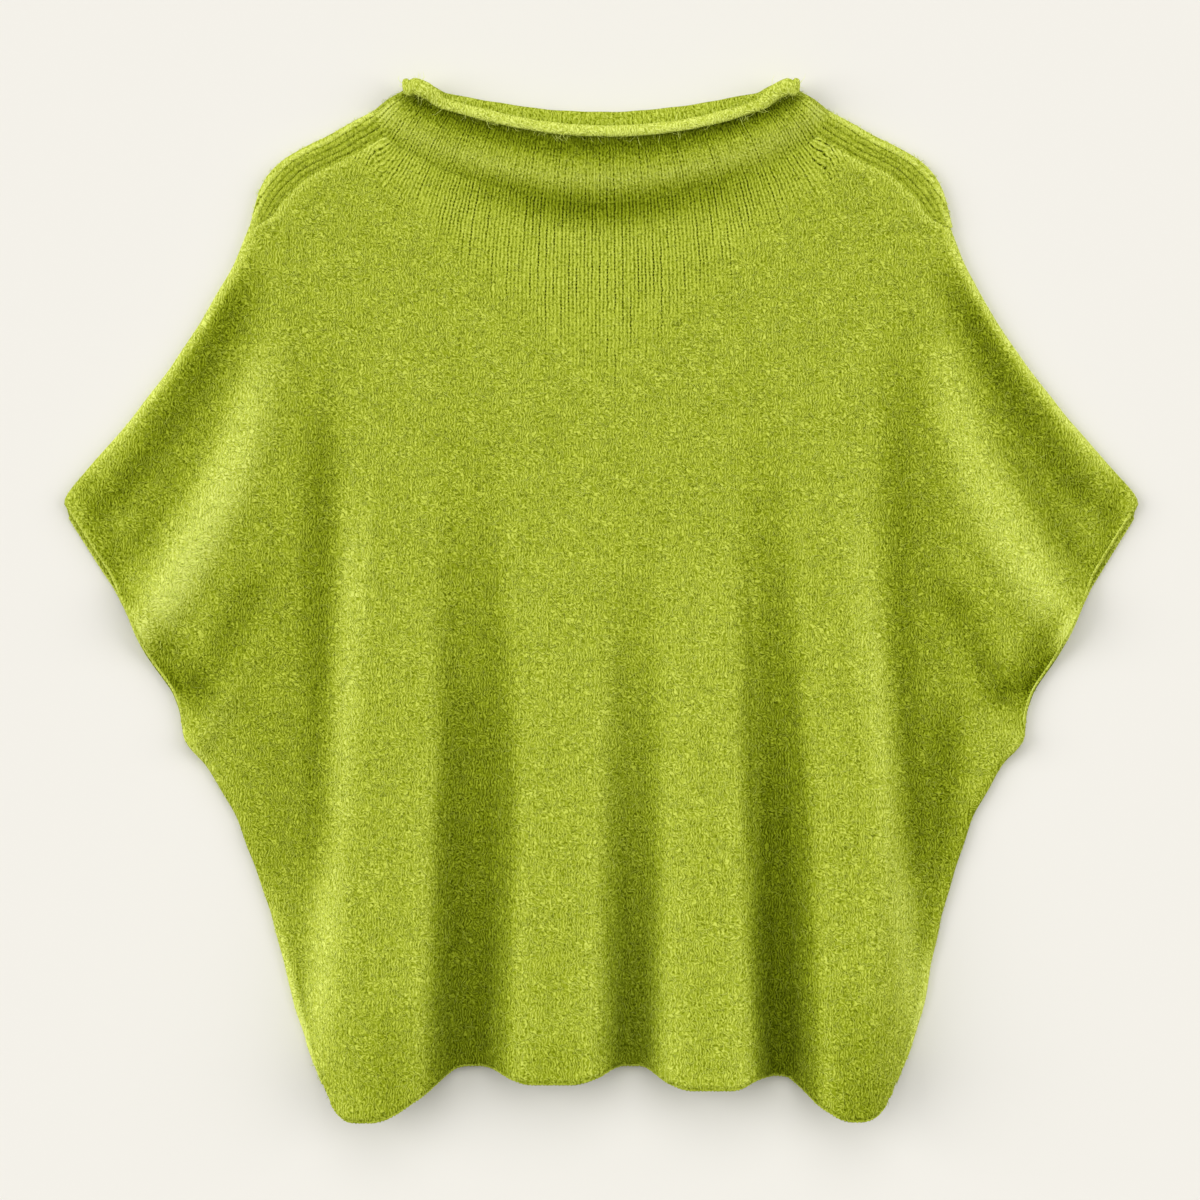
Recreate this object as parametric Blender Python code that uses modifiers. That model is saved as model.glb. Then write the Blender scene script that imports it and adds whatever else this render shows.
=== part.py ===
"""Short-sleeve knitted sweater, wide and poncho-like, laid flat on a surface.

+X is the wearer's left as the front is seen, +Y runs from the hem to the neck, and +Z points off the
surface. The origin lies on the surface, in the middle of the garment's length and width.
Sizes below are in millimetres and become metres when a mesh is made.

The pieces are cut and joined as on the real garment:
  front_panel, back_panel   batwing panels, each with its halves of both sleeves
  saddle_left, saddle_right strips that wrap over the shoulder line
  collar                    a funnel tube whose top edge rolls outwards
"""
import math

import bpy
import numpy as np

MM = 0.001

# Cloth
WALL = 2.8             # thickness of the brushed knit
LAYER_GAP = 0.8        # air between the front and the back
SEAM_GAP = 0.4         # air between neighbouring pieces
CURVE_GAP = 0.8        # the same along the curved seam of the neck
CLEAR_OF_COLLAR = np.array((0.7, -0.4))   # moves a saddle's first section off the collar
LAYER_STEP = WALL + LAYER_GAP
FOLD_RADIUS = LAYER_STEP / 2      # where a wall turns from the front to the back
MIDDLE_Z = WALL + LAYER_GAP / 2   # height of the surface halfway between front and back

# Edges of both panels from neck to hem, a row for each section: height, left edge, right edge
SECTIONS = (
    # y,      left,   right
    (307.0, -142.5, 142.5),     # side of the neck
    (300.0, -154.0, 154.0),
    (293.0, -165.5, 165.5),
    (281.5, -192.0, 191.0),
    (268.0, -207.0, 206.0),
    (253.0, -218.5, 217.5),     # end of the saddle strip
    (247.0, -231.5, 229.5),     # shoulder point
    (221.0, -242.0, 239.5),
    (188.0, -261.0, 257.5),     # overarm
    (155.0, -282.5, 280.0),
    (122.0, -307.5, 306.0),
    (89.0, -336.0, 334.5),
    (72.0, -351.0, 350.5),
    (64.0, -355.5, 355.5),      # tip of the sleeve
    (56.0, -352.0, 352.5),
    (23.0, -331.0, 332.0),      # cuff
    (-10.0, -310.0, 313.0),
    (-36.0, -299.0, 300.5),
    (-59.0, -281.5, 284.5),
    (-75.0, -276.0, 279.0),
    (-92.0, -275.0, 279.0),     # underarm
    (-108.0, -260.5, 264.5),
    (-141.0, -241.0, 245.5),    # side seam
    (-174.0, -228.5, 234.5),
    (-207.0, -217.5, 225.0),
    (-240.0, -209.0, 218.0),
    (-273.0, -201.0, 212.5),
    (-300.0, -191.5, 203.5),
    (-320.0, -181.0, 192.0),    # corner of the hem
)

# Saddle strip from the collar to the shoulder point: height of its seam on the panel's edge,
# and its fold on the outline
SADDLE_SECTIONS = (
    # seam_y, fold_x, fold_y
    (307.0, 151.0, 322.0),
    (300.0, 165.5, 314.5),
    (293.0, 179.0, 306.5),
    (287.25, 192.0, 300.5),
    (281.5, 207.5, 292.0),
    (274.75, 217.5, 283.5),
    (268.0, 224.5, 272.5),
    (260.5, 228.0, 261.0),
    (253.7, 230.5, 250.3),
)

# Valleys between the big folds of the body, side valleys first and last. x is given at three heights.
VALLEY_TOP, VALLEY_MIDDLE, VALLEY_HEM = 105.0, -105.0, -305.0
VALLEYS = (
    # x_top,  x_middle, x_hem, flat half width, flank, opens at y, reaches the floor at y
    (-182.0, -205.0, -196.0, 0.0, 34.0, 400.0, 300.0),
    (-90.0, -82.0, -88.0, 9.0, 24.0, 90.0, 0.0),
    (22.0, 23.0, 20.5, 6.0, 21.0, 30.0, -70.0),
    (104.0, 113.0, 119.0, 6.0, 21.0, 90.0, 0.0),
    (187.0, 214.0, 206.0, 0.0, 34.0, 400.0, 300.0),
)

# Big folds of the body, a row for each, as they meet the hem
RIDGES = (
    # x,    height
    (-150.0, 33.0),
    (-31.0, 32.0),
    (70.0, 33.0),
    (161.0, 35.0),
)
RIDGE_RISE = 1.4       # how slowly the folds grow from the chest to the hem
HEM_Y = -305.0         # the hem in the valleys
HEM_END_Y = -320.0     # the hem at the side seams
HEM_SHAPE_FROM = -150.0

# How far the folds push the hem down: each drop begins at one x, is full between two and ends at a fourth
HEM_DROPS = (
    # begins, full from, full to, ends, drop
    (-196.0, -160.0, -149.0, -87.0, 31.6),
    (-70.0, -46.0, -18.0, 9.0, 7.6),
    (28.0, 58.0, 86.0, 108.0, 11.2),
    (94.0, 108.0, 176.0, 204.0, 6.5),
    (118.0, 162.0, 168.0, 207.0, 24.2),
)

# Soft folds of the sleeves, from their tops down to the cuffs
SLEEVE_FOLDS = (
    # x_top, y_top, x_end, y_end, bend, half width, height
    (-212.0, 205.0, -304.0, -10.0, 12.0, 34.0, 11.0),
    (212.0, 205.0, 306.0, -10.0, -12.0, 34.0, 11.0),
    (-212.0, 10.0, -268.0, -95.0, 4.0, 15.0, 5.0),
    (216.0, 10.0, 272.0, -95.0, -4.0, 15.0, 5.0),
)

# Neckline and collar. A row of the collar runs from fold to fold and dips in the middle.
NECK_HALF, NECK_END_Y, NECK_DIP = 149.4, 319.2, 57.2
NECK_POWERS = (1.7, 0.62)
RIM_HALF, RIM_END_Y, RIM_DIP = 126.0, 334.0, 26.0
RIM_POWERS = (2.0, 1.25)
BACK_RISE = 9.2        # how much higher the back of the neck lies
BACK_RISE_FADE = 4.0   # how much sooner than the dip it dies out down the back
NECK_SHARE = SECTIONS[0][2] / NECK_HALF
NECK_END_BAND = 30.0   # where the collar's height fades out on the panels, towards the neck's sides
DIP_FADES_AT = 105.0
COLLAR_LIFT = 6.4      # the rim lies on the roll behind it
COLLAR_BULGE = 4.5
BULGE_END = 0.9        # share of the collar's height that bulges
ROLL_RADIUS = 3.0
ROLL_TURN = math.radians(235)

# Columns of the panels fan out from the neck: a row for each line that a column follows
COLUMN_LINES = (
    # column, share of the neck, valley, beside it
    (7, -0.56, 0, 34.0),
    (15, -0.28, 1, 0.0),
    (24, 0.06, 2, 0.0),
    (33, 0.34, 3, 0.0),
    (41, 0.58, 4, -34.0),
)
LAST_COLUMN = 48
SETTLING_ROUNDS = 3    # a column's x and a row's y depend on each other

# Numbers of facets
COLLAR_COLUMNS = 30
COLLAR_ROWS = 6
ROLL_ROWS = 6
FOLD_FACETS = 5


def smooth(value):
    """Rises from 0 to 1 with level ends as value goes from 0 to 1."""
    value = np.clip(value, 0.0, 1.0)
    return value * value * (3.0 - 2.0 * value)


def three_point(y, top, middle, hem):
    """Straight stretches through the positions at the three valley heights, upright above the top."""
    up = np.clip((y - VALLEY_MIDDLE) / (VALLEY_TOP - VALLEY_MIDDLE), 0.0, 1.0)
    down = np.maximum((y - VALLEY_MIDDLE) / (VALLEY_HEM - VALLEY_MIDDLE), 0.0)
    return middle + (top - middle) * up + (hem - middle) * down


def body_folds(x, y):
    """Height of the body's folds: a growing swell, cut down by each valley."""
    growth = np.maximum((VALLEY_TOP - y) / (VALLEY_TOP - HEM_END_Y), 0.0) ** RIDGE_RISE
    height = np.interp(x, *np.array(RIDGES).T) * growth
    for index, (top, middle, hem, flat, flank, opens, full) in enumerate(VALLEYS):
        away = x - three_point(y, top, middle, hem)
        if index == 0:
            distance = away
        elif index == len(VALLEYS) - 1:
            distance = -away
        else:
            distance = np.abs(away)
        depth = smooth((opens - y) / (opens - full))
        height = height * (1.0 - depth * (1.0 - smooth((distance - flat) / flank)))
    return height


def sleeve_folds(x, y):
    """Height of the soft folds that run down the sleeves to the cuffs."""
    height = np.zeros_like(x)
    for x_top, y_top, x_end, y_end, bend, half, crest in SLEEVE_FOLDS:
        along = (y_top - y) / (y_top - y_end)
        centre = x_top + (x_end - x_top) * along + bend * 4.0 * along * (1.0 - along)
        lobe = np.clip(1.0 - ((x - centre) / half) ** 2, 0.0, 1.0) ** 2
        height = height + crest * lobe * smooth(along)
    return height


def dip_shape(share, powers):
    """1 in the middle of a row and 0 at its ends, full like a superellipse, straight at the saddles."""
    share = np.abs(share)
    curve = np.clip(1.0 - np.minimum(share, NECK_SHARE) ** powers[0], 0.0, 1.0) ** powers[1]
    return curve * np.clip((1.0 - share) / (1.0 - NECK_SHARE), 0.0, 1.0)


def neck_height(rise):
    """Height of the collar above the surface: 0 at the seam, a bulge, then the lifted rim."""
    bulge = np.sin(math.pi * np.clip(rise / BULGE_END, 0.0, 1.0)) ** 2
    return COLLAR_LIFT * smooth(rise) + COLLAR_BULGE * bulge


def hem_line(share):
    """The hem as the folds push it down, for shares from -1 to 1 of the way across."""
    _, left, right = SECTIONS[-1]
    x = (left + right + share * (right - left)) / 2.0
    line = np.full_like(x, HEM_Y)
    for begins, full_from, full_to, ends, drop in HEM_DROPS:
        line -= drop * smooth((x - begins) / (full_from - begins)) * smooth((ends - x) / (ends - full_to))
    return line


def back_lift(share):
    """How much higher the back's neckline lies than the front's: most in the middle, none at the sides."""
    return BACK_RISE * np.clip(1.0 - (share / NECK_SHARE) ** 2, 0.0, 1.0)


def collar_lines(share, back):
    """Seam and rim of the collar, each as x and y, for shares from -1 to 1 of the half width."""
    lift = back_lift(share) if back else 0.0
    seam = NECK_HALF * share, NECK_END_Y - NECK_DIP * dip_shape(share, NECK_POWERS) + lift
    rim = RIM_HALF * share, RIM_END_Y - RIM_DIP * dip_shape(share, RIM_POWERS) + lift
    return seam, rim


def row_height(section, x, back):
    """Where a row of a panel runs: its y over x, dipping below the neck and shaped by the hem."""
    y_edge, left, right = section
    share = (2.0 * x - left - right) / (right - left)
    top = SECTIONS[0][0]
    fade = np.clip((top - y_edge) / (top - DIP_FADES_AT), 0.0, 1.0)
    neck_share = share * NECK_SHARE
    end_dip = dip_shape(np.array(NECK_SHARE), NECK_POWERS)
    neck_dip = NECK_DIP * (dip_shape(neck_share, NECK_POWERS) - end_dip)
    soft_dip = NECK_DIP * (1.0 - end_dip) * (1.0 - share ** 2) ** 2
    y = y_edge - ((1.0 - fade) * neck_dip + fade * soft_dip) * (1.0 - fade) ** 2
    if back:
        y = y + back_lift(neck_share) * (1.0 - smooth(fade * BACK_RISE_FADE))
    hem_share = smooth((HEM_SHAPE_FROM - y_edge) / (HEM_SHAPE_FROM - HEM_END_Y))
    return y + hem_share * (hem_line(share) - HEM_END_Y)


def column_places(section, y):
    """x of each column in a row: even steps between the side edges and the lines that columns follow."""
    _, left, right = section
    rise = smooth((y - VALLEY_TOP) / (SECTIONS[0][0] - VALLEY_TOP))
    numbers, knots = [0], [np.full_like(y, left)]
    for column, share, valley, beside in COLUMN_LINES:
        below = three_point(y, *VALLEYS[valley][:3]) + beside
        numbers.append(column)
        knots.append(below + (share * right - below) * rise)
    numbers.append(LAST_COLUMN)
    knots.append(np.full_like(y, right))
    return np.array([np.interp(column, numbers, [knot[column] for knot in knots])
                     for column in range(LAST_COLUMN + 1)])


def panel_surface(back):
    """The surface of a panel halfway between the layers, row by row."""
    rows = []
    for section in SECTIONS:
        y = np.full(LAST_COLUMN + 1, section[0])
        for _ in range(SETTLING_ROUNDS):
            x = column_places(section, y)
            y = row_height(section, x, back)
        height = body_folds(x, y) + sleeve_folds(x, y)
        seam, rim = collar_lines(np.clip(x / NECK_HALF, -1.0, 1.0), False)
        rise = (y - seam[1]) / (rim[1] - seam[1])
        near = smooth((NECK_HALF - np.abs(x)) / NECK_END_BAND - 0.5)
        rows.append(np.stack((x, y, height + neck_height(rise) * near), axis=-1))
    return np.array(rows)


def surface_normals(grid):
    """Unit normals of a grid surface that faces upwards."""
    along = np.gradient(grid, axis=0)
    across = np.gradient(grid, axis=1)
    normal = np.cross(along, across)
    normal /= np.linalg.norm(normal, axis=-1, keepdims=True)
    return normal * np.where(normal[..., 2:] < 0.0, -1.0, 1.0)


def panel_grid(back):
    """Middle of a panel's wall, above or below the surface halfway between the layers."""
    grid = panel_surface(back)
    grid[0, :, 1] -= CURVE_GAP
    grid = grid + surface_normals(grid) * (-FOLD_RADIUS if back else FOLD_RADIUS)
    grid[..., 2] += MIDDLE_Z
    return grid


def fold_arc():
    """Angles round a folded edge, from the front layer to the back one."""
    return np.linspace(math.pi / 2, -math.pi / 2, FOLD_FACETS + 1)


def collar_grid():
    """The collar's tube as rows from seam to rim; the first column follows the last one."""
    share = np.sin(np.linspace(-math.pi / 2, math.pi / 2, COLLAR_COLUMNS + 1))
    arc = fold_arc()[1:-1]
    slope = np.array((RIM_HALF - NECK_HALF, RIM_END_Y - NECK_END_Y))
    out_x, out_y = slope[1] / np.hypot(*slope), -slope[0] / np.hypot(*slope)
    (_, front_seam), (_, front_rim) = collar_lines(share, False)
    rows = []
    for rise in np.linspace(0.0, 1.0, COLLAR_ROWS + 1):
        halves = []
        for back in (False, True):
            seam, rim = collar_lines(share, back)
            x = seam[0] + (rim[0] - seam[0]) * rise
            y = seam[1] + (rim[1] - seam[1]) * rise
            place = (y - front_seam) / (front_rim - front_seam)
            z = MIDDLE_Z + neck_height(place) + (-FOLD_RADIUS if back else FOLD_RADIUS)
            halves.append(np.stack((x, y, z), axis=-1))
        front, behind = halves
        x, y, z = front[-1]
        bulge, level = FOLD_RADIUS * np.cos(arc), z + FOLD_RADIUS * (np.sin(arc) - 1.0)
        right = np.stack((x + out_x * bulge, y + out_y * bulge, level), axis=-1)
        left = (right * (-1.0, 1.0, 1.0))[::-1]
        rows.append(np.concatenate((front, right, behind[::-1], left)))
    return np.array(rows)


def rolled_rim(grid):
    """Rows that carry the tube's rim on round an outward curl."""
    rim = grid[-1]
    upward = rim - grid[-2]
    around = np.roll(rim, -1, axis=0) - np.roll(rim, 1, axis=0)
    outward = np.cross(around, upward)
    outward /= np.linalg.norm(outward, axis=-1, keepdims=True)
    upward /= np.linalg.norm(upward, axis=-1, keepdims=True)
    turns = np.linspace(0.0, ROLL_TURN, ROLL_ROWS + 1)[1:]
    return np.array([rim + ROLL_RADIUS * (math.sin(turn) * upward + (1.0 - math.cos(turn)) * outward)
                     for turn in turns])


def saddle_grid(side):
    """A shoulder strip: its front, round the fold on the outline, and its back."""
    arc = fold_arc()
    table = np.array(SADDLE_SECTIONS)
    edge = np.array(SECTIONS)[::-1]
    edge_x = np.interp(table[:, 0], edge[:, 0], edge[:, 2] if side > 0.0 else -edge[:, 1])
    seam, fold = np.stack((edge_x, table[:, 0]), axis=-1), table[:, 1:]
    fold[0] += CLEAR_OF_COLLAR
    seam[0] += CLEAR_OF_COLLAR
    along = np.gradient(fold, axis=0)
    out = np.stack((-along[:, 1], along[:, 0]), axis=-1)
    out /= np.linalg.norm(out, axis=-1, keepdims=True)
    inner = fold - out * (FOLD_RADIUS + WALL / 2.0)
    gap = out * SEAM_GAP
    rows = []
    for index in range(len(table)):
        start = seam[index] + gap[index]
        flat = [start + (inner[index] - start) * part for part in (0.0, 0.5)]
        front = [(x, y, MIDDLE_Z + FOLD_RADIUS) for x, y in flat]
        turned = [(*(inner[index] + out[index] * FOLD_RADIUS * math.cos(angle)),
                   MIDDLE_Z + FOLD_RADIUS * math.sin(angle)) for angle in arc]
        behind = [(x, y, MIDDLE_Z - FOLD_RADIUS) for x, y in reversed(flat)]
        rows.append(front + turned + behind)
    grid = np.array(rows)
    grid[..., 0] *= side
    return grid


def make_piece(name, grid, closed, flip, material, collection):
    """A grid of points as an open surface of triangles, thickened on both sides."""
    rows, columns = grid.shape[:2]
    number = np.arange(rows * columns).reshape(rows, columns)
    if closed:
        number = np.concatenate((number, number[:, :1]), axis=1)
    a, b = number[:-1, :-1].ravel(), number[:-1, 1:].ravel()
    c, d = number[1:, 1:].ravel(), number[1:, :-1].ravel()
    faces = np.concatenate((np.stack((a, b, c), axis=-1), np.stack((a, c, d), axis=-1)))
    if flip:
        faces = faces[:, ::-1]
    mesh = bpy.data.meshes.new(name)
    mesh.from_pydata((grid.reshape(-1, 3) * MM).tolist(), [], faces.tolist())
    mesh.materials.append(material)
    mesh.shade_smooth()
    piece = bpy.data.objects.new(name, mesh)
    collection.objects.link(piece)
    wall = piece.modifiers.new("wall", "SOLIDIFY")
    wall.thickness = WALL * MM
    wall.offset = 0.0
    wall.use_rim = True
    wall.use_quality_normals = True
    return piece


def brushed_knit():
    """Lime green brushed wool."""
    material = bpy.data.materials.new("brushed_knit")
    material.use_nodes = True
    shader = material.node_tree.nodes["Principled BSDF"]
    shader.inputs["Base Color"].default_value = (0.36, 0.44, 0.03, 1.0)
    shader.inputs["Roughness"].default_value = 0.95
    shader.inputs["Metallic"].default_value = 0.0
    return material


def main():
    for old in list(bpy.data.objects):
        bpy.data.objects.remove(old, do_unlink=True)
    collection = bpy.data.collections.new("short_sleeve_sweater")
    bpy.context.scene.collection.children.link(collection)
    knit = brushed_knit()

    make_piece("back_panel", panel_grid(True), False, False, knit, collection)
    make_piece("front_panel", panel_grid(False), False, False, knit, collection)
    make_piece("saddle_left", saddle_grid(-1.0), False, False, knit, collection)
    make_piece("saddle_right", saddle_grid(1.0), False, True, knit, collection)
    tube = collar_grid()
    make_piece("collar", np.concatenate((tube, rolled_rim(tube))), True, False, knit, collection)


main()
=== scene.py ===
"""Looks of a wide short-sleeve sweater in brushed lime-green knit, laid flat on a pale surface.

Every cloth piece is a grid surface worked out with numpy from the sweater's own sizes. Lengths are in
millimetres until a mesh is made. +X is to the right of the front, +Y towards the neck, +Z upwards.
"""
import math

import bpy
import numpy as np
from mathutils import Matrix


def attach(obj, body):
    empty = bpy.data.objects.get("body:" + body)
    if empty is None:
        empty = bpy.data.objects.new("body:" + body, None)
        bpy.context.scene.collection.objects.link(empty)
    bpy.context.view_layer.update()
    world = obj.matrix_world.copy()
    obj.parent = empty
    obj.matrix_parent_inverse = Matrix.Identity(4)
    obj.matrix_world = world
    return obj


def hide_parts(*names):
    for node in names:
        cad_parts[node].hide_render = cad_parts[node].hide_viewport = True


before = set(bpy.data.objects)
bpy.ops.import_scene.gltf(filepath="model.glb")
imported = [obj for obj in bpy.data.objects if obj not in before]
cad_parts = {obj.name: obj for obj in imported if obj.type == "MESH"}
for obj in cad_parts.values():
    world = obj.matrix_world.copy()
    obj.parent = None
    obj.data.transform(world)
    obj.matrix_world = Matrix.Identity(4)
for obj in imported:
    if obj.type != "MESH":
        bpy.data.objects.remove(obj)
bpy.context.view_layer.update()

MM = 0.001

# ---------------------------------------------------------------- sizes of the sweater

WALL = 2.8
LAYER_GAP = 0.8
LAYER_STEP = WALL + LAYER_GAP
MIDDLE_Z = WALL + LAYER_GAP / 2
FOLD_RADIUS = LAYER_STEP / 2
EDGE_INSET = FOLD_RADIUS + WALL / 2
INSET_REACH = 22.0
BACK_CLEARANCE = 0.5
CUFF_INSET_BACK = 0.9
CUFF_INSET_TOP, CUFF_INSET_LOW = 5.2, 1.8    # near the tip the back shows beyond the front
CUFF_INSET_FROM, CUFF_INSET_OVER = -24.0, 34.0
CUFF_TURN = 0.30                             # how far round the fold the front goes at a cuff
UNEVENNESS, UNEVENNESS_SIZE = 0.5, 38.0
UNEVENNESS_SEED, UNEVENNESS_WAVES = 3, 6
WAVE_LENGTHS, WAVE_STARTS = (0.7, 1.6), (0.0, 6.3)    # shares of the size, and where each wave starts

SECTIONS = (
    # y,      left,   right
    (307.0, -142.5, 142.5),     # side of the neck
    (300.0, -154.0, 154.0),
    (293.0, -165.5, 165.5),
    (281.5, -192.0, 191.0),
    (268.0, -207.0, 206.0),
    (253.0, -218.5, 217.5),     # end of the saddle strip
    (247.0, -231.5, 229.5),     # shoulder point
    (221.0, -242.0, 239.5),
    (188.0, -261.0, 257.5),     # overarm
    (155.0, -282.5, 280.0),
    (122.0, -307.5, 306.0),
    (89.0, -336.0, 334.5),
    (72.0, -351.0, 350.5),
    (64.0, -355.5, 355.5),      # tip of the sleeve
    (56.0, -352.0, 352.5),
    (23.0, -331.0, 332.0),      # cuff
    (-10.0, -310.0, 313.0),
    (-36.0, -299.0, 300.5),
    (-59.0, -281.5, 284.5),
    (-75.0, -276.0, 279.0),
    (-92.0, -275.0, 279.0),     # underarm
    (-108.0, -260.5, 264.5),
    (-141.0, -241.0, 245.5),    # side seam
    (-174.0, -228.5, 234.5),
    (-207.0, -217.5, 225.0),
    (-240.0, -209.0, 218.0),
    (-273.0, -201.0, 212.5),
    (-300.0, -191.5, 203.5),
    (-320.0, -181.0, 192.0),    # corner of the hem
)
TOP_Y, SHOULDER_Y, TIP_Y, UNDERARM_Y = 307.0, 247.0, 64.0, -92.0

# The edge's corners are softened by a bell curve, from the hem up to just below the shoulder points
EDGE_STEP, EDGE_BEYOND = 1.0, 20.0
BELL_SPREAD, BELL_REACH = 3.5, 12.0
STRAIGHT_BELOW_SHOULDER, STRAIGHT_OVER, STRAIGHT_ABOVE_HEM = 12.0, 10.0, 4.0

# Where the fold of the joined edges ends at a cuff: past the tip or the underarm, and over what length
CUFF_TOP, CUFF_TOP_OVER = 2.0, 8.0
CUFF_LOW, CUFF_LOW_OVER = 4.0, 10.0

SADDLE_SECTIONS = (
    # seam_y, fold_x, fold_y
    (307.0, 151.0, 322.0),
    (300.0, 165.5, 314.5),
    (293.0, 179.0, 306.5),
    (287.25, 192.0, 300.5),
    (281.5, 207.5, 292.0),
    (274.75, 217.5, 283.5),
    (268.0, 224.5, 272.5),
    (260.5, 228.0, 261.0),
    (253.7, 230.5, 250.3),
)

VALLEY_TOP, VALLEY_MIDDLE, VALLEY_HEM = 105.0, -105.0, -305.0
VALLEYS = (
    # x_top,  x_middle, x_hem, flat half width, flank, opens at y, reaches the floor at y
    (-182.0, -205.0, -196.0, 0.0, 34.0, 400.0, 300.0),
    (-90.0, -82.0, -88.0, 9.0, 24.0, 90.0, 0.0),
    (22.0, 23.0, 20.5, 6.0, 21.0, 30.0, -70.0),
    (104.0, 113.0, 119.0, 6.0, 21.0, 90.0, 0.0),
    (187.0, 214.0, 206.0, 0.0, 34.0, 400.0, 300.0),
)
RIDGES = (
    # x,    height
    (-150.0, 33.0),
    (-31.0, 32.0),
    (70.0, 33.0),
    (161.0, 35.0),
)
RIDGE_RISE = 1.4
HEM_Y, HEM_END_Y, HEM_SHAPE_FROM = -305.0, -320.0, -150.0
HEM_DROPS = (
    # begins, full from, full to, ends, drop
    (-196.0, -160.0, -149.0, -87.0, 31.6),
    (-70.0, -46.0, -18.0, 9.0, 7.6),
    (28.0, 58.0, 86.0, 108.0, 11.2),
    (94.0, 108.0, 176.0, 204.0, 6.5),
    (118.0, 162.0, 168.0, 207.0, 24.2),
)

SLEEVE_FOLDS = (
    # x_top, y_top, x_end, y_end, bend, half width, height
    (-212.0, 205.0, -304.0, -10.0, 12.0, 34.0, 11.0),
    (212.0, 205.0, 306.0, -10.0, -12.0, 34.0, 11.0),
    (-212.0, 10.0, -268.0, -95.0, 4.0, 15.0, 5.0),
    (216.0, 10.0, 272.0, -95.0, -4.0, 15.0, 5.0),
)

NECK_HALF, NECK_END_Y, NECK_DIP = 149.4, 319.2, 57.2
NECK_POWERS = (1.7, 0.62)
RIM_HALF, RIM_END_Y, RIM_DIP = 126.0, 334.0, 26.0
RIM_POWERS = (2.0, 1.25)
BACK_RISE, BACK_RISE_ENDS = 9.2, 0.25        # it ends at this share of the way down to the dip's end
NECK_SHARE = 142.5 / NECK_HALF
DIP_FADES_AT = 105.0
COLLAR_LIFT = 6.4
COLLAR_BULGE, BULGE_TOP = 4.5, 0.9
NECK_BLEND = 15.0                            # half the band over which the neck's height ends
ROLL_RADIUS = 3.0
ROLL_TURN = math.radians(235)

# Knit: distance between wales and between courses
WALE, COURSE = 2.55, 2.85
LEAN_MIDDLE, LEAN_SIDE, LEAN_REACH = 0.06, 0.16, 70.0
SADDLE_WALE = 4.3

# Fine columns of the panels between the lines that the wales follow
COLUMN_LINES = (
    # share of the neck, valley, beside it
    (-0.56, 0, 34.0),
    (-0.28, 1, 0.0),
    (0.06, 2, 0.0),
    (0.34, 3, 0.0),
    (0.58, 4, -34.0),
)
FRONT_COLUMNS = (36, 32, 32, 32, 32, 36)
BACK_COLUMNS = (20, 20, 20, 20, 20, 20)
FRONT_ROWS, BACK_ROWS = 196, 130
ARC_COLUMNS = 6
PLACING_ROUNDS = 4

# ---------------------------------------------------------------- the sweater's form


def smooth(value):
    """3v^2 - 2v^3, held at 0 below 0 and at 1 above 1."""
    value = np.clip(value, 0.0, 1.0)
    return value * value * (3.0 - 2.0 * value)


def three_point(y, top, middle, hem):
    """Two straight stretches through a position at each of the three valley heights."""
    up = np.clip((y - VALLEY_MIDDLE) / (VALLEY_TOP - VALLEY_MIDDLE), 0.0, 1.0)
    down = np.maximum((y - VALLEY_MIDDLE) / (VALLEY_HEM - VALLEY_MIDDLE), 0.0)
    return middle + (top - middle) * up + (hem - middle) * down


def body_folds(x, y):
    """Height of the body's folds: a swell that grows with a power of the way to the hem, times one
    minus each valley's depth, where a valley is a flat floor between two smooth flanks."""
    growth = np.maximum((VALLEY_TOP - y) / (VALLEY_TOP - HEM_END_Y), 0.0) ** RIDGE_RISE
    height = np.interp(x, *np.array(RIDGES).T) * growth
    for index, (top, middle, hem, flat, flank, opens, full) in enumerate(VALLEYS):
        away = x - three_point(y, top, middle, hem)
        if index == 0:
            distance = away
        elif index == len(VALLEYS) - 1:
            distance = -away
        else:
            distance = np.abs(away)
        depth = smooth((opens - y) / (opens - full))
        height = height * (1.0 - depth * (1.0 - smooth((distance - flat) / flank)))
    return height


def bowed_lobe(x, y, x_top, y_top, x_end, y_end, bend, half):
    """(1 - s^2)^2 across a line that bows sideways as a parabola, with the share of the way along it."""
    along = (y_top - y) / (y_top - y_end)
    centre = x_top + (x_end - x_top) * along + bend * 4.0 * along * (1.0 - along)
    return np.clip(1.0 - ((x - centre) / half) ** 2, 0.0, 1.0) ** 2, along


def sleeve_folds(x, y):
    """Height of the sleeves' folds: lobes across bowed lines, which rise smoothly towards the cuffs."""
    height = np.zeros_like(x)
    for *line, crest in SLEEVE_FOLDS:
        lobe, along = bowed_lobe(x, y, *line)
        height = height + crest * lobe * smooth(along)
    return height


def dip_shape(share, powers):
    """(1 - |s|^p)^q up to the neck's side, then straight down to 0 at 1."""
    share = np.abs(share)
    curve = np.clip(1.0 - np.minimum(share, NECK_SHARE) ** powers[0], 0.0, 1.0) ** powers[1]
    return curve * np.clip((1.0 - share) / (1.0 - NECK_SHARE), 0.0, 1.0)


def neck_height(rise):
    """Height of the collar: a smooth lift to the rim plus a sine-squared bulge in its lower part."""
    bulge = np.where((rise > 0.0) & (rise < BULGE_TOP), np.sin(math.pi * rise / BULGE_TOP) ** 2, 0.0)
    return COLLAR_LIFT * smooth(rise) + COLLAR_BULGE * bulge


def hem_line(share):
    """The hem's y for shares from -1 to 1 of the way across: a level line less drops that rise and end
    smoothly."""
    _, left, right = SECTIONS[-1]
    x = (left + right + share * (right - left)) / 2.0
    line = np.full_like(x, HEM_Y)
    for begins, full_from, full_to, ends, drop in HEM_DROPS:
        rising, falling = smooth((x - begins) / (full_from - begins)), smooth((ends - x) / (ends - full_to))
        line = line - drop * rising * falling
    return line


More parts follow.
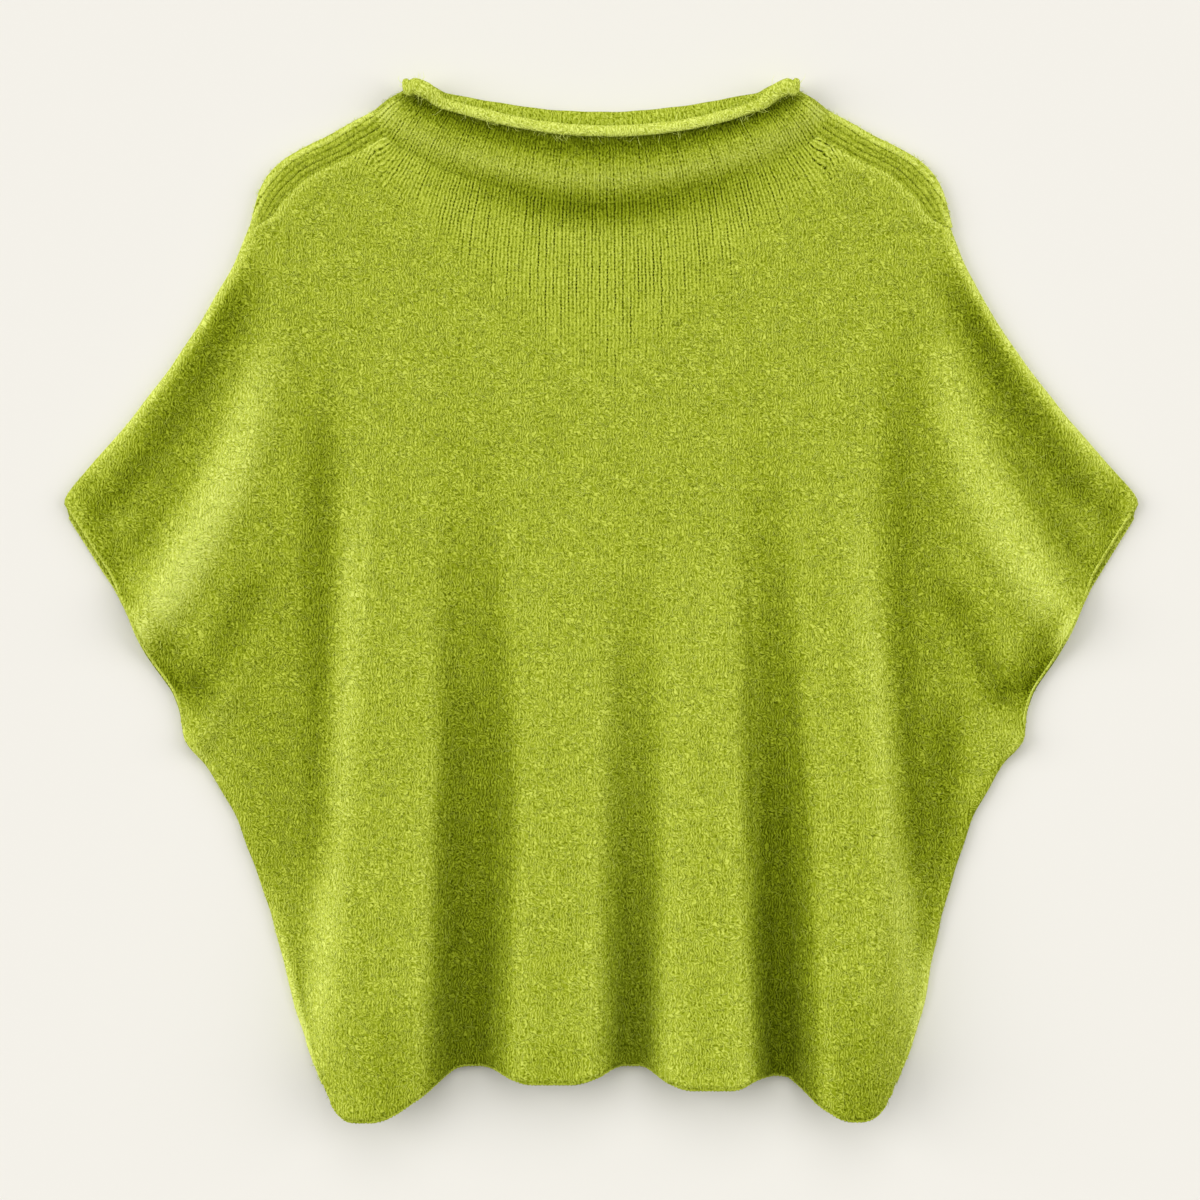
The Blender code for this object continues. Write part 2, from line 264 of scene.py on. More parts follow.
def back_lift(share):
    """1 - s^2 of the neck's share, 0 beyond the neck's sides."""
    return BACK_RISE * np.clip(1.0 - (share / NECK_SHARE) ** 2, 0.0, 1.0)


def collar_lines(share, back):
    """Seam and rim of the collar, each as x and y, for shares from -1 to 1 of the half width."""
    lift = back_lift(share) if back else 0.0
    seam = NECK_HALF * share, NECK_END_Y - NECK_DIP * dip_shape(share, NECK_POWERS) + lift
    rim = RIM_HALF * share, RIM_END_Y - RIM_DIP * dip_shape(share, RIM_POWERS) + lift
    return seam, rim


def neck_lines(x, back):
    """The y of the collar's seam and rim at each x, held beyond the neck's sides."""
    (_, seam), (_, rim) = collar_lines(np.clip(x / NECK_HALF, -1.0, 1.0), back)
    return seam, rim


def edge_lines(y):
    """Left and right edge at each y: the sections joined by straight lines, then averaged with a bell
    curve so that the sleeve tips and underarms are softly rounded. The saddle's seam stays straight."""
    table = np.array(SECTIONS)[::-1]
    fine = np.arange(HEM_END_Y - EDGE_BEYOND, TOP_Y + EDGE_BEYOND, EDGE_STEP)
    reach = np.arange(-BELL_REACH, BELL_REACH + EDGE_STEP / 2.0, EDGE_STEP)
    bell = np.exp(-(reach / BELL_SPREAD) ** 2 / 2.0)
    bell /= bell.sum()
    lines = []
    for column in (1, 2):
        straight = np.interp(fine, table[:, 0], table[:, column])
        soft = np.convolve(straight, bell, mode="same")
        share = smooth((fine - SHOULDER_Y + STRAIGHT_BELOW_SHOULDER) / STRAIGHT_OVER)
        ends = (fine < HEM_END_Y + STRAIGHT_ABOVE_HEM) | (fine > SHOULDER_Y)
        mixed = np.where(ends, straight, soft + (straight - soft) * share)
        lines.append(np.interp(y, fine, mixed))
    return lines


def row_height(y_edge, left, right, x, back):
    """The y of each row over x: level at the side edges, dipping below the neck near the top, and
    taking on the hem's lobes near the bottom."""
    share = (2.0 * x - left - right) / (right - left)
    top = TOP_Y
    fade = np.clip((top - y_edge) / (top - DIP_FADES_AT), 0.0, 1.0)
    neck_share = share * NECK_SHARE
    end_dip = dip_shape(np.array(NECK_SHARE), NECK_POWERS)
    neck_dip = NECK_DIP * (dip_shape(neck_share, NECK_POWERS) - end_dip)
    soft_dip = NECK_DIP * (1.0 - end_dip) * (1.0 - share ** 2) ** 2
    y = y_edge - ((1.0 - fade) * neck_dip + fade * soft_dip) * (1.0 - fade) ** 2
    if back:
        y = y + back_lift(neck_share) * (1.0 - smooth(fade / BACK_RISE_ENDS))
    hem_share = smooth((HEM_SHAPE_FROM - y_edge) / (HEM_SHAPE_FROM - HEM_END_Y))
    return y + hem_share * (hem_line(share) - HEM_END_Y)


def column_places(counts, left, right, y):
    """x of every column: even steps between the side edges and the lines that the wales follow."""
    rise = smooth((y - VALLEY_TOP) / (TOP_Y - VALLEY_TOP))
    knots = [left + 0.0 * y]
    for share, valley, beside in COLUMN_LINES:
        below = three_point(y, *VALLEYS[valley][:3]) + beside
        knots.append(below + (share * right - below) * rise)
    knots.append(right + 0.0 * y)
    knots = np.array(knots)
    starts = np.concatenate(([0], np.cumsum(counts)))
    column = np.arange(starts[-1] + 1)
    part = np.minimum(np.searchsorted(starts, column, side="right") - 1, len(counts) - 1)
    share = (column - starts[part]) / np.array(counts)[part]
    return knots[part, :, column].T * (1.0 - share) + knots[part + 1, :, column].T * share


def ripple(x, y, size, seed):
    """A gentle unevenness: the mean of some sine waves of unlike directions and lengths."""
    random = np.random.default_rng(seed)
    total = np.zeros_like(x)
    for _ in range(UNEVENNESS_WAVES):
        angle = random.uniform(0.0, math.pi)
        length = random.uniform(*WAVE_LENGTHS)
        start = random.uniform(*WAVE_STARTS)
        way = x * math.cos(angle) + y * math.sin(angle)
        total += np.sin(way * 2.0 * math.pi / (size * length) + start)
    return total / UNEVENNESS_WAVES


def middle_surface(rows, counts, back):
    """The surface halfway between the front and the back, as points, with each row's y at the edge. A
    column's x and a row's y depend on each other, so they are worked out in turn."""
    y_edge = np.linspace(TOP_Y, HEM_END_Y, rows + 1)[:, None]
    left, right = edge_lines(y_edge)
    y = np.repeat(y_edge, sum(counts) + 1, axis=1)
    for _ in range(PLACING_ROUNDS):
        x = column_places(counts, left, right, y)
        y = row_height(y_edge, left, right, x, back)
    seam, rim = neck_lines(x, False)
    rise = (y - seam) / (rim - seam)
    near = smooth((NECK_HALF - NECK_BLEND - np.abs(x)) / (2.0 * NECK_BLEND))
    z = body_folds(x, y) + sleeve_folds(x, y) + neck_height(rise) * near
    return np.stack((x, y, z), axis=-1), y_edge[:, 0]


def unit(vector):
    """Vectors divided by their lengths."""
    return vector / np.maximum(np.linalg.norm(vector, axis=-1, keepdims=True), 1e-9)


def upward_normals(grid):
    """Unit normals of a grid surface, turned upwards."""
    normal = unit(np.cross(np.gradient(grid, axis=0), np.gradient(grid, axis=1)))
    return normal * np.where(normal[..., 2:] < 0.0, -1.0, 1.0)


def soften(values, reach):
    """A running mean along the first axis, with the ends held."""
    first, last = np.repeat(values[:1], reach, axis=0), np.repeat(values[-1:], reach, axis=0)
    padded = np.concatenate((first, values, last))
    total = np.cumsum(np.concatenate((np.zeros_like(padded[:1]), padded)), axis=0)
    width = 2 * reach + 1
    return (total[width:] - total[:-width]) / width


def travelled(points):
    """How far along its path, or along its row of a grid, each point lies."""
    steps = np.linalg.norm(np.diff(points, axis=-2), axis=-1)
    return np.concatenate((np.zeros_like(steps[..., :1]), np.cumsum(steps, axis=-1)), axis=-1)


def points_along(points, places, wanted):
    """Points read off where wanted, from points whose places along their path are known."""
    return np.stack([np.interp(wanted, places, values) for values in points.T], axis=-1)


def resting(grid, lowest):
    """The grid with nothing lower than that height, as cloth lies on a surface."""
    grid[..., 2] = np.maximum(grid[..., 2], lowest)
    return grid


def edge_outward(grid, normal, side):
    """Directions that leave the cloth across its left (side 0) or right (side -1) edge."""
    tangent = np.gradient(grid[:, side], axis=0)
    outward = unit(np.cross(tangent, normal[:, side]))
    inside = grid[:, 1 if side == 0 else -2] - grid[:, side]
    outward *= np.where(np.sum(outward * inside, axis=-1, keepdims=True) > 0.0, -1.0, 1.0)
    return unit(soften(outward, 2))


def folded_share(y_edge):
    """1 where front and back are joined at the edge, 0 along the cuff."""
    below_tip = smooth((TIP_Y + CUFF_TOP - y_edge) / CUFF_TOP_OVER)
    return 1.0 - below_tip * smooth((y_edge - UNDERARM_Y - CUFF_LOW) / CUFF_LOW_OVER)


def wale_count(x, below):
    """Number of the wale at x, at a distance below the neck's seam: upright wales that lean in towards
    the neck by a share of x. The share is a middle value plus one that grows with x squared, times the
    square of the way up."""
    share = LEAN_MIDDLE + LEAN_SIDE * np.minimum(np.abs(x) / NECK_HALF, 1.0) ** 2
    return x * (1.0 + share * np.clip(1.0 - below / LEAN_REACH, 0.0, 1.0) ** 2) / WALE


def panel(rows, counts, back):
    """Middle of a panel's wall as a grid. The front goes on round the joined edges in an arc, and the
    back stops where that arc ends. Returns points, normals and the knit's wale and course numbers."""
    middle, y_edge = middle_surface(rows, counts, back)
    normal = upward_normals(middle)
    folded = folded_share(y_edge)[:, None]
    for side in (0, -1):
        outward = edge_outward(middle, normal, side)
        distance = np.linalg.norm(middle - middle[:, side][:, None], axis=-1, keepdims=True)
        near_tip = smooth((y_edge[:, None] - CUFF_INSET_FROM) / CUFF_INSET_OVER)
        front_inset = CUFF_INSET_LOW + (CUFF_INSET_TOP - CUFF_INSET_LOW) * near_tip
        inset = EDGE_INSET * folded + (CUFF_INSET_BACK if back else front_inset) * (1.0 - folded)
        if back:
            inset = inset + BACK_CLEARANCE * folded
        middle = middle - outward[:, None] * inset[:, None] * smooth(1.0 - distance / INSET_REACH)
    normal = upward_normals(middle)
    shift = -FOLD_RADIUS if back else FOLD_RADIUS
    grid = middle + normal * shift
    x, y = middle[..., 0], middle[..., 1]
    wale = wale_count(x, neck_lines(x, back)[0] - y)
    if not back:
        turn = math.pi * (CUFF_TURN + (1.0 - CUFF_TURN) * folded)
        parts = np.linspace(0.0, 1.0, ARC_COLUMNS + 1)[1:]
        arcs = []
        for side in (0, -1):
            outward = edge_outward(middle, normal, side)
            steps = parts if side == -1 else parts[::-1]
            angle = turn * steps
            around = (normal[:, side][:, None] * np.cos(angle)[..., None]
                      + outward[:, None] * np.sin(angle)[..., None])
            arc = middle[:, side][:, None] + FOLD_RADIUS * around
            sign = -1.0 if side == 0 else 1.0
            arcs.append((arc, around, wale[:, side][:, None] + sign * angle * FOLD_RADIUS / WALE))
        grid, normal, wale = (np.concatenate((before, values, after), axis=1)
                              for before, values, after in zip(arcs[0], (grid, normal, wale), arcs[1]))
    grid[..., 2] += MIDDLE_Z
    return resting(grid, WALL / 2.0), normal, wale, (TOP_Y - y_edge)[:, None] / COURSE


# Painted shade (amount below 0) and painted highlight (above 0) in lobes across bowed lines
SHADE_LINES = (
    # x_top, y_top, x_end, y_end, bend, half width, amount at the top, amount at the end
    (-224.0, 235.0, -322.0, 62.0, 6.0, 22.0, -0.20, -0.24),
    (222.0, 235.0, 322.0, 62.0, -6.0, 22.0, -0.18, -0.24),
    (-226.0, 214.0, -310.0, 30.0, 8.0, 24.0, -0.08, -0.13),
    (230.0, 214.0, 316.0, 24.0, -8.0, 22.0, -0.07, -0.14),
    (-341.0, 92.0, -318.0, 4.0, 0.0, 15.0, -0.12, -0.14),
    (344.0, 92.0, 324.0, 4.0, 0.0, 12.0, -0.15, -0.10),
    (-318.0, 14.0, -270.0, -58.0, 0.0, 21.0, -0.09, -0.18),
    (310.0, 6.0, 272.0, -60.0, 0.0, 19.0, -0.10, -0.24),
    (-188.0, 240.0, -196.0, -40.0, -4.0, 30.0, -0.02, -0.05),
    (-184.0, 165.0, -184.0, -170.0, 0.0, 19.0, -0.14, -0.22),
    (-222.0, 80.0, -218.0, -180.0, 0.0, 36.0, -0.05, -0.09),
    (194.0, 220.0, 222.0, -160.0, 6.0, 28.0, -0.08, -0.12),
    (191.0, 150.0, 202.0, -170.0, 0.0, 17.0, -0.12, -0.21),
    (-158.0, 110.0, -186.0, -290.0, 2.0, 18.0, 0.08, 0.20),
    (158.0, 110.0, 206.0, -280.0, 2.0, 18.0, 0.06, 0.15),
    (-224.0, 190.0, -297.0, -16.0, 17.0, 25.0, 0.08, 0.34),
    (222.0, 190.0, 303.0, -16.0, -17.0, 26.0, 0.08, 0.18),
    (-224.0, 26.0, -268.0, -72.0, 0.0, 22.0, -0.12, -0.17),
    (228.0, 20.0, 262.0, -70.0, 0.0, 20.0, -0.16, -0.20),
    (99.0, 70.0, 99.0, -190.0, 3.0, 6.0, 0.08, 0.10),
    (-31.0, 60.0, -31.0, -320.0, 0.0, 40.0, 0.02, -0.03),
    (-31.0, -280.0, -31.0, -340.0, 0.0, 60.0, -0.05, -0.05),
    (230.0, -50.0, 216.0, -225.0, 0.0, 20.0, -0.12, -0.13),
    (-134.0, -250.0, -134.0, -340.0, 0.0, 34.0, -0.03, -0.13),
    (166.0, -250.0, 168.0, -340.0, 0.0, 28.0, -0.03, -0.20),
    (66.0, 60.0, 66.0, -320.0, 0.0, 38.0, 0.03, -0.02),
)
LINE_FADES_IN, LINE_ENDS, LINE_FADES_OUT = 0.25, 1.12, 0.2      # shares of a line's length
# Painted highlight along the side edges, and painted shade round the underarms where the value is below 0
EDGE_LIGHT_AND_SHADE = (
    # y, left edge, right edge
    (265.0, 0.12, 0.12),
    (235.0, 0.20, 0.20),
    (198.0, 0.36, 0.36),
    (165.0, 0.26, 0.32),
    (132.0, 0.26, 0.26),
    (99.0, 0.20, 0.24),
    (76.0, 0.10, 0.10),
    (52.0, 0.00, 0.00),
    (0.0, 0.02, 0.02),
    (-22.0, 0.22, 0.28),
    (-40.0, -0.10, -0.22),
    (-56.0, -0.20, -0.30),
    (-70.0, 0.10, -0.08),
    (-92.0, 0.14, 0.04),
    (-132.0, 0.02, -0.12),
    (-198.0, 0.08, 0.04),
    (-240.0, 0.22, 0.14),
    (-272.0, 0.36, 0.18),
    (-320.0, 0.16, 0.04),
)
RIM_WIDTH, RIM_REACH = 4.0, 8.0
# Painted shade in the body's valleys
VALLEY_SHADES = (
    # darker by, shifted by, half width where it begins, half width at the hem
    (0.00, 0.0, 10.0, 10.0),
    (0.20, 1.5, 14.0, 27.0),
    (0.12, -1.5, 10.0, 20.0),
    (0.24, 1.5, 10.0, 22.0),
    (0.00, 0.0, 10.0, 10.0),
)
VALLEY_TONE_ABOVE, VALLEY_TONE_LONGER = 90.0, 260.0   # it begins higher up and grows more slowly
VALLEY_TONE_EDGE, VALLEY_TONE_SHARPER = 26.0, 16.0
# Painted shade on the front just below the collar's seam, fading away from it and towards the sides
NECK_DARK, NECK_DARK_REACH = 0.32, 26.0
NECK_DARK_HALF = (140.0, 175.0)      # to the left and to the right
BODY_TONE = 0.682
# Painted shade in hollows and painted highlight on raised parts, by the height against the mean of the
# surroundings
CAVITY_LIGHT_AND_SHADE, DEEPEST, HIGHEST = 0.008, -14.0, 8.0
AROUND_ROWS, AROUND_COLUMNS = 7, 6           # rows and columns that count as a point's surroundings

# The open-knit yoke ends along a bowed line: its y at the middle, its rise over x, how round it is, and
# the width of the change at the middle, less at the sides
YOKE_Y, YOKE_RISE, YOKE_ROUND = 147.0, 0.888, 15.0
YOKE_FADE, YOKE_FADE_LESS, YOKE_SIDE = 76.0, 44.0, 150.0


def line_light_and_shade(x, y):
    """Painted shade and highlight: the sum of lobes across bowed lines, each amount changing evenly along
    its line and both ends fading out."""
    total = np.zeros_like(x)
    for *line, first, last in SHADE_LINES:
        lobe, along = bowed_lobe(x, y, *line)
        ends = smooth(along / LINE_FADES_IN) * smooth((LINE_ENDS - along) / LINE_FADES_OUT)
        total += lobe * ends * (first + (last - first) * np.clip(along, 0.0, 1.0))
    return total


def valley_shade(x, y):
    """Painted shade: how much darker the body's valleys are painted."""
    total = np.zeros_like(x)
    for valley, (dark, shift, narrow, wide) in zip(VALLEYS, VALLEY_SHADES):
        opens, full = valley[-2:]
        away = np.abs(x - three_point(y, *valley[:3]) - shift)
        depth = smooth((opens + VALLEY_TONE_ABOVE - y) / (opens - full + VALLEY_TONE_LONGER))
        half = narrow + (wide - narrow) * depth
        edge = VALLEY_TONE_EDGE - VALLEY_TONE_SHARPER * depth
        total += dark * depth * (1.0 - smooth((away - half) / edge + 0.5))
    return total


def edge_distance(grid):
    """Distance of every point from the nearer end of its row, along the row."""
    way = travelled(grid)
    return np.minimum(way, way[:, -1:] - way)


def painted_tone(grid, outward):
    """Tone of the wool from 0 to 1, with painted light and shade: a painted highlight where the cloth
    stands out from its surroundings and painted shade in hollows, painted light and shade along its side
    edges, painted shade in the valleys and below the neck, with the painted lines added."""
    x, y, height = np.moveaxis(grid, -1, 0)
    at, left, right = np.array(EDGE_LIGHT_AND_SHADE)[::-1].T
    rim = np.where(x < 0.0, np.interp(y, at, left), np.interp(y, at, right))
    rim = rim * (1.0 - smooth((edge_distance(grid) - RIM_WIDTH) / RIM_REACH))
    around = soften(height, AROUND_ROWS).T
    for _ in range(2):
        around = soften(around, AROUND_COLUMNS)
    hollow = np.clip((height - around.T) * outward, DEEPEST, HIGHEST)
    half = np.where(x < 0.0, *NECK_DARK_HALF)
    near_neck = 1.0 - smooth((neck_lines(x, False)[0] - y) / NECK_DARK_REACH)
    below_neck = NECK_DARK * near_neck * (1.0 - smooth(np.abs(x) / half))
    return BODY_TONE + CAVITY_LIGHT_AND_SHADE * hollow + line_light_and_shade(x, y) - valley_shade(x, y) - below_neck + rim


def yoke_share(x, y):
    """1 in the open-knit yoke round the neck, 0 below the bowed line where the nap takes over."""
    border = YOKE_Y + YOKE_RISE * np.sqrt(x * x + YOKE_ROUND ** 2)
    fade = YOKE_FADE - YOKE_FADE_LESS * np.minimum(np.abs(x) / YOKE_SIDE, 1.0)
    return smooth((y - border) / fade + 0.5)


# ---------------------------------------------------------------- meshes


def grid_mesh(name, grid, wale, course, marks, closed=False, flip=False):
    """A mesh of quads over a grid of points in millimetres, with a UV map that counts wales and courses
    and float attributes, one for each named mark: the tone, with painted light and shade, and how open the
    knit is."""
    rows, columns = grid.shape[:2]
    number = np.arange(rows * columns).reshape(rows, columns)
    wale, course = (np.broadcast_to(values, (rows, columns)) for values in (wale, course))
    if closed:
        number = np.concatenate((number, number[:, :1]), axis=1)
        wale = np.concatenate((wale, wale[:, -1:] + 1.0), axis=1)
        course = np.concatenate((course, course[:, :1]), axis=1)
    low, high = slice(None, -1), slice(1, None)
    corners = ((low, low), (low, high), (high, high), (high, low))
    if flip:
        corners = corners[::-1]
    faces, across, along = (np.stack([values[corner].ravel() for corner in corners], axis=-1)
                            for values in (number, wale, course))
    mesh = bpy.data.meshes.new(name)
    mesh.from_pydata((grid.reshape(-1, 3) * MM), [], faces)
    uv = np.stack((across, along), axis=-1)
    layer = mesh.uv_layers.new(name="stitches")
    layer.data.foreach_set("uv", uv.astype(np.float32).ravel())
    for mark, values in marks.items():
        mark_mesh(mesh, mark, np.broadcast_to(values, (rows, columns)))
    mesh.shade_smooth()
    return mesh


def mark_mesh(mesh, mark, values):
    """Store one number for each point."""
    attribute = mesh.attributes.new(mark, "FLOAT", "POINT")
    attribute.data.foreach_set("value", values.astype(np.float32).ravel())


def place(name, data, material=None):
    """An object in the scene, which holds the data; a mesh has a material."""
    item = bpy.data.objects.new(name, data)
    bpy.context.scene.collection.objects.link(item)
    if material:
        data.materials.append(material)
    return item


def thicken(piece):
    """Give the surface the wall of the cloth, half of it to each side."""
    wall = piece.modifiers.new("wall", "SOLIDIFY")
    wall.thickness = WALL * MM
    wall.offset = 0.0
    wall.use_rim = True
    wall.use_quality_normals = True
    return piece


# ---------------------------------------------------------------- materials

# Colours of the wool from the deepest hollow to the lightest fibre
WOOL_TONES = (
    # position, red, green, blue
    (0.00, 0.030, 0.042, 0.0004),
    (0.25, 0.108, 0.142, 0.0015),
    (0.50, 0.280, 0.345, 0.0120),
    (0.75, 0.550, 0.630, 0.0700),
    (1.00, 0.830, 0.920, 0.2000),
)


def new_material(name, roughness, specular):
    """A material with its node tree and its shader."""
    material = bpy.data.materials.new(name)
    material.use_nodes = True
    shader = material.node_tree.nodes["Principled BSDF"]
    shader.inputs["Roughness"].default_value = roughness
    shader.inputs["Specular IOR Level"].default_value = specular
    return material, material.node_tree, shader


def math_node(tree, operation, *values):
    """A maths node fed with sockets or plain numbers."""
    node = tree.nodes.new("ShaderNodeMath")
    node.operation = operation
    for socket, value in zip(node.inputs, values):
        if isinstance(value, (int, float)):
            socket.default_value = value
        else:
            tree.links.new(value, socket)
    return node.outputs[0]


def scaled_sum(tree, start, *terms):
    """start plus each term's value times its factor."""
    total = start
    for value, factor in terms:
        total = math_node(tree, "MULTIPLY_ADD", value, factor, total)
    return total


def noise_node(tree, vector, scale, detail):
    node = tree.nodes.new("ShaderNodeTexNoise")
    node.inputs["Scale"].default_value = scale
    node.inputs["Detail"].default_value = detail
    tree.links.new(vector, node.inputs["Vector"])
    return node.outputs["Fac"]


def range_node(tree, value, low, high, to_low, to_high):
    """A value from low to high carried smoothly over to a new range and held beyond its ends."""
    node = tree.nodes.new("ShaderNodeMapRange")
    node.interpolation_type = "SMOOTHSTEP"
    node.inputs["From Min"].default_value = low
    node.inputs["From Max"].default_value = high
    node.inputs["To Min"].default_value = to_low
    node.inputs["To Max"].default_value = to_high
    tree.links.new(value, node.inputs["Value"])
    return node.outputs["Result"]


def attribute_node(tree, name):
    node = tree.nodes.new("ShaderNodeAttribute")
    node.attribute_name = name
    return node.outputs["Fac"]


def wool_ramp(tree, value):
    """The wool's colour for a tone from 0 to 1."""
    ramp = tree.nodes.new("ShaderNodeValToRGB")
    stops = ramp.color_ramp.elements
    for position, *_ in WOOL_TONES[1:-1]:
        stops.new(position)
    for stop, (position, *colour) in zip(stops, WOOL_TONES):
        stop.position = position
        stop.color = (*colour, 1.0)
    tree.links.new(value, ramp.inputs["Fac"])
    return ramp.outputs["Color"]


def strokes(tree, vector, direction, period, distortion, swirl):
    """Soft parallel lines with the given period in metres, bent into curls by a noise of that size."""
    node = tree.nodes.new("ShaderNodeTexWave")
    node.wave_type, node.bands_direction = "BANDS", direction
    node.inputs["Scale"].default_value = math.pi / 10.0 / period
    node.inputs["Distortion"].default_value = distortion
    node.inputs["Detail"].default_value = 1.0
    node.inputs["Detail Scale"].default_value = period * 10.0 / math.pi / swirl
    tree.links.new(vector, node.inputs["Vector"])
    return node.outputs["Fac"]


def from_middle(tree, value):
    """Distance of a count from the middle of its stitch, 0 to 0.5."""
    part = math_node(tree, "FRACT", value)
    return math_node(tree, "ABSOLUTE", math_node(tree, "SUBTRACT", part, 0.5))


# Brushed knit. Distances are shares of a stitch from its middle, and lengths are metres.
WALE_SWAY, COURSE_DRIFT = (150.0, 0.7), (210.0, 0.8)           # noise scale, how many stitches
RIB, GROOVE, DOT = (0.06, 0.40), (0.26, 0.46), (0.06, 0.40)    # where each change begins and ends
DOT_LEAST = 0.15
EVERY_OTHER_WALE = (0.55, 1.15)                                # shallow and deep grooves
STREAK_ACROSS, STREAK_ALONG = 0.9, 0.06
STREAK = (0.40, 0.66, 0.30, 1.6)                               # noise from, to, strength from, to
CLOSED_KNIT, OPEN_NAP = 0.14, 0.5                              # stitch outside the yoke, nap less in it
UPRIGHT, SLANTING = (0.0018, 9.0, 0.0038), (0.0021, 12.0, 0.0034)    # period, distortion, swirl
CURL_CHOICE, PITS = (90.0, 0.42, 0.58), (600.0, 0.28, 0.44)    # noise scale, from, to
CURL_SHARPNESS, MOTTLE_SCALE = 1.5, 45.0
TONE_START = -0.20
# Tones added to the ramp: grooves and dots darker as the knit's gaps with painted shade of the recess, rib
# crests lighter as a painted highlight
CURL_TONE, PIT_TONE, STITCH_SHADE, RIB_HIGHLIGHT, MOTTLE_TONE, YOKE_TONE = 0.30, -0.16, -0.32, 0.15, 0.06, 0.03
CURL_HEIGHT, PIT_HEIGHT, STITCH_HEIGHT, RIB_RELIEF = 0.6, -0.4, -1.0, 0.4
RELIEF_STRENGTH, RELIEF_DEPTH = 0.7, 0.0009
SHEEN_COLOUR = (0.85, 0.95, 0.12, 1.0)


def brushed_knit():
    """Lime-green brushed wool. Wales are ribs with a painted highlight on their crests between grooves,
    with a dark dot at each course, some grooves deeper than others; grooves and dots are darker as the
    knit's gaps, with painted shade of the recess. All of it sinks under curls of nap where the knit is less
    open. The UV map counts wales and courses; the attributes tone and yoke are the wool's tone, with
    painted light and shade, and the openness."""
    material, tree, shader = new_material("brushed_knit", 0.95, 0.02)
    spot = tree.nodes.new("ShaderNodeTexCoord").outputs["Object"]
    uv = tree.nodes.new("ShaderNodeUVMap")
    uv.uv_map = "stitches"
    split = tree.nodes.new("ShaderNodeSeparateXYZ")
    tree.links.new(uv.outputs["UV"], split.inputs["Vector"])
    yoke = attribute_node(tree, "yoke")

    sway = noise_node(tree, spot, WALE_SWAY[0], 1.0)
    drift = noise_node(tree, spot, COURSE_DRIFT[0], 1.0)
    wale = scaled_sum(tree, split.outputs["X"], (sway, WALE_SWAY[1]))
    course = scaled_sum(tree, split.outputs["Y"], (drift, COURSE_DRIFT[1]))
    across = from_middle(tree, wale)
    rib = range_node(tree, across, *RIB, 1.0, 0.0)
    groove = range_node(tree, across, *GROOVE, 0.0, 1.0)
    every_other = from_middle(tree, math_node(tree, "MULTIPLY", wale, 0.5))
    groove = math_node(tree, "MULTIPLY", groove, range_node(tree, every_other, 0.0, 0.5, *EVERY_OTHER_WALE))
    dots = range_node(tree, from_middle(tree, course), *DOT, DOT_LEAST, 1.0)
    streak_spot = tree.nodes.new("ShaderNodeCombineXYZ")
    tree.links.new(math_node(tree, "MULTIPLY", wale, STREAK_ACROSS), streak_spot.inputs["X"])
    tree.links.new(math_node(tree, "MULTIPLY", course, STREAK_ALONG), streak_spot.inputs["Y"])
    streak = noise_node(tree, streak_spot.outputs["Vector"], 1.0, 1.0)
    streak = range_node(tree, streak, *STREAK)
    openness = scaled_sum(tree, CLOSED_KNIT, (yoke, 1.0 - CLOSED_KNIT))
    stitch = math_node(tree, "MULTIPLY", math_node(tree, "MULTIPLY", groove, dots), streak)
    stitch = math_node(tree, "MULTIPLY", stitch, openness)
    rib = math_node(tree, "MULTIPLY", rib, openness)

    nap = scaled_sum(tree, 1.0, (yoke, -OPEN_NAP))
    upright = strokes(tree, spot, "X", *UPRIGHT)
    slanting = strokes(tree, spot, "DIAGONAL", *SLANTING)
    choice = range_node(tree, noise_node(tree, spot, CURL_CHOICE[0], 1.0), *CURL_CHOICE[1:], 0.0, 1.0)
    curls = tree.nodes.new("ShaderNodeMix")
    for socket, value in zip((0, 2, 3), (choice, upright, slanting)):
        tree.links.new(value, curls.inputs[socket])
    curls = math_node(tree, "MULTIPLY", math_node(tree, "POWER", curls.outputs[0], CURL_SHARPNESS), nap)
    pits = range_node(tree, noise_node(tree, spot, PITS[0], 0.0), *PITS[1:], 1.0, 0.0)
    mottle = noise_node(tree, spot, MOTTLE_SCALE, 2.0)

    tone = scaled_sum(tree, attribute_node(tree, "tone"), (curls, CURL_TONE), (pits, PIT_TONE),
                      (stitch, STITCH_SHADE), (rib, RIB_HIGHLIGHT), (mottle, MOTTLE_TONE), (yoke, YOKE_TONE))
    tone = math_node(tree, "ADD", tone, TONE_START)
    tree.links.new(wool_ramp(tree, tone), shader.inputs["Base Color"])

    relief = scaled_sum(tree, 0.5, (curls, CURL_HEIGHT), (pits, PIT_HEIGHT), (stitch, STITCH_HEIGHT),
                        (rib, RIB_RELIEF))
    bump = tree.nodes.new("ShaderNodeBump")
    bump.inputs["Strength"].default_value = RELIEF_STRENGTH
    bump.inputs["Distance"].default_value = RELIEF_DEPTH
    tree.links.new(relief, bump.inputs["Height"])
    tree.links.new(bump.outputs["Normal"], shader.inputs["Normal"])
    shader.inputs["Sheen Weight"].default_value = 0.10
    shader.inputs["Sheen Roughness"].default_value = 0.5
    shader.inputs["Sheen Tint"].default_value = SHEEN_COLOUR
    return material


def nap_fibre():
    """Single fibres of the nap, each of one tone."""
    material, tree, shader = new_material("nap_fibre", 0.8, 0.05)
    tree.links.new(wool_ramp(tree, attribute_node(tree, "tone")), shader.inputs["Base Color"])
    return material


# ---------------------------------------------------------------- the nap's fibres


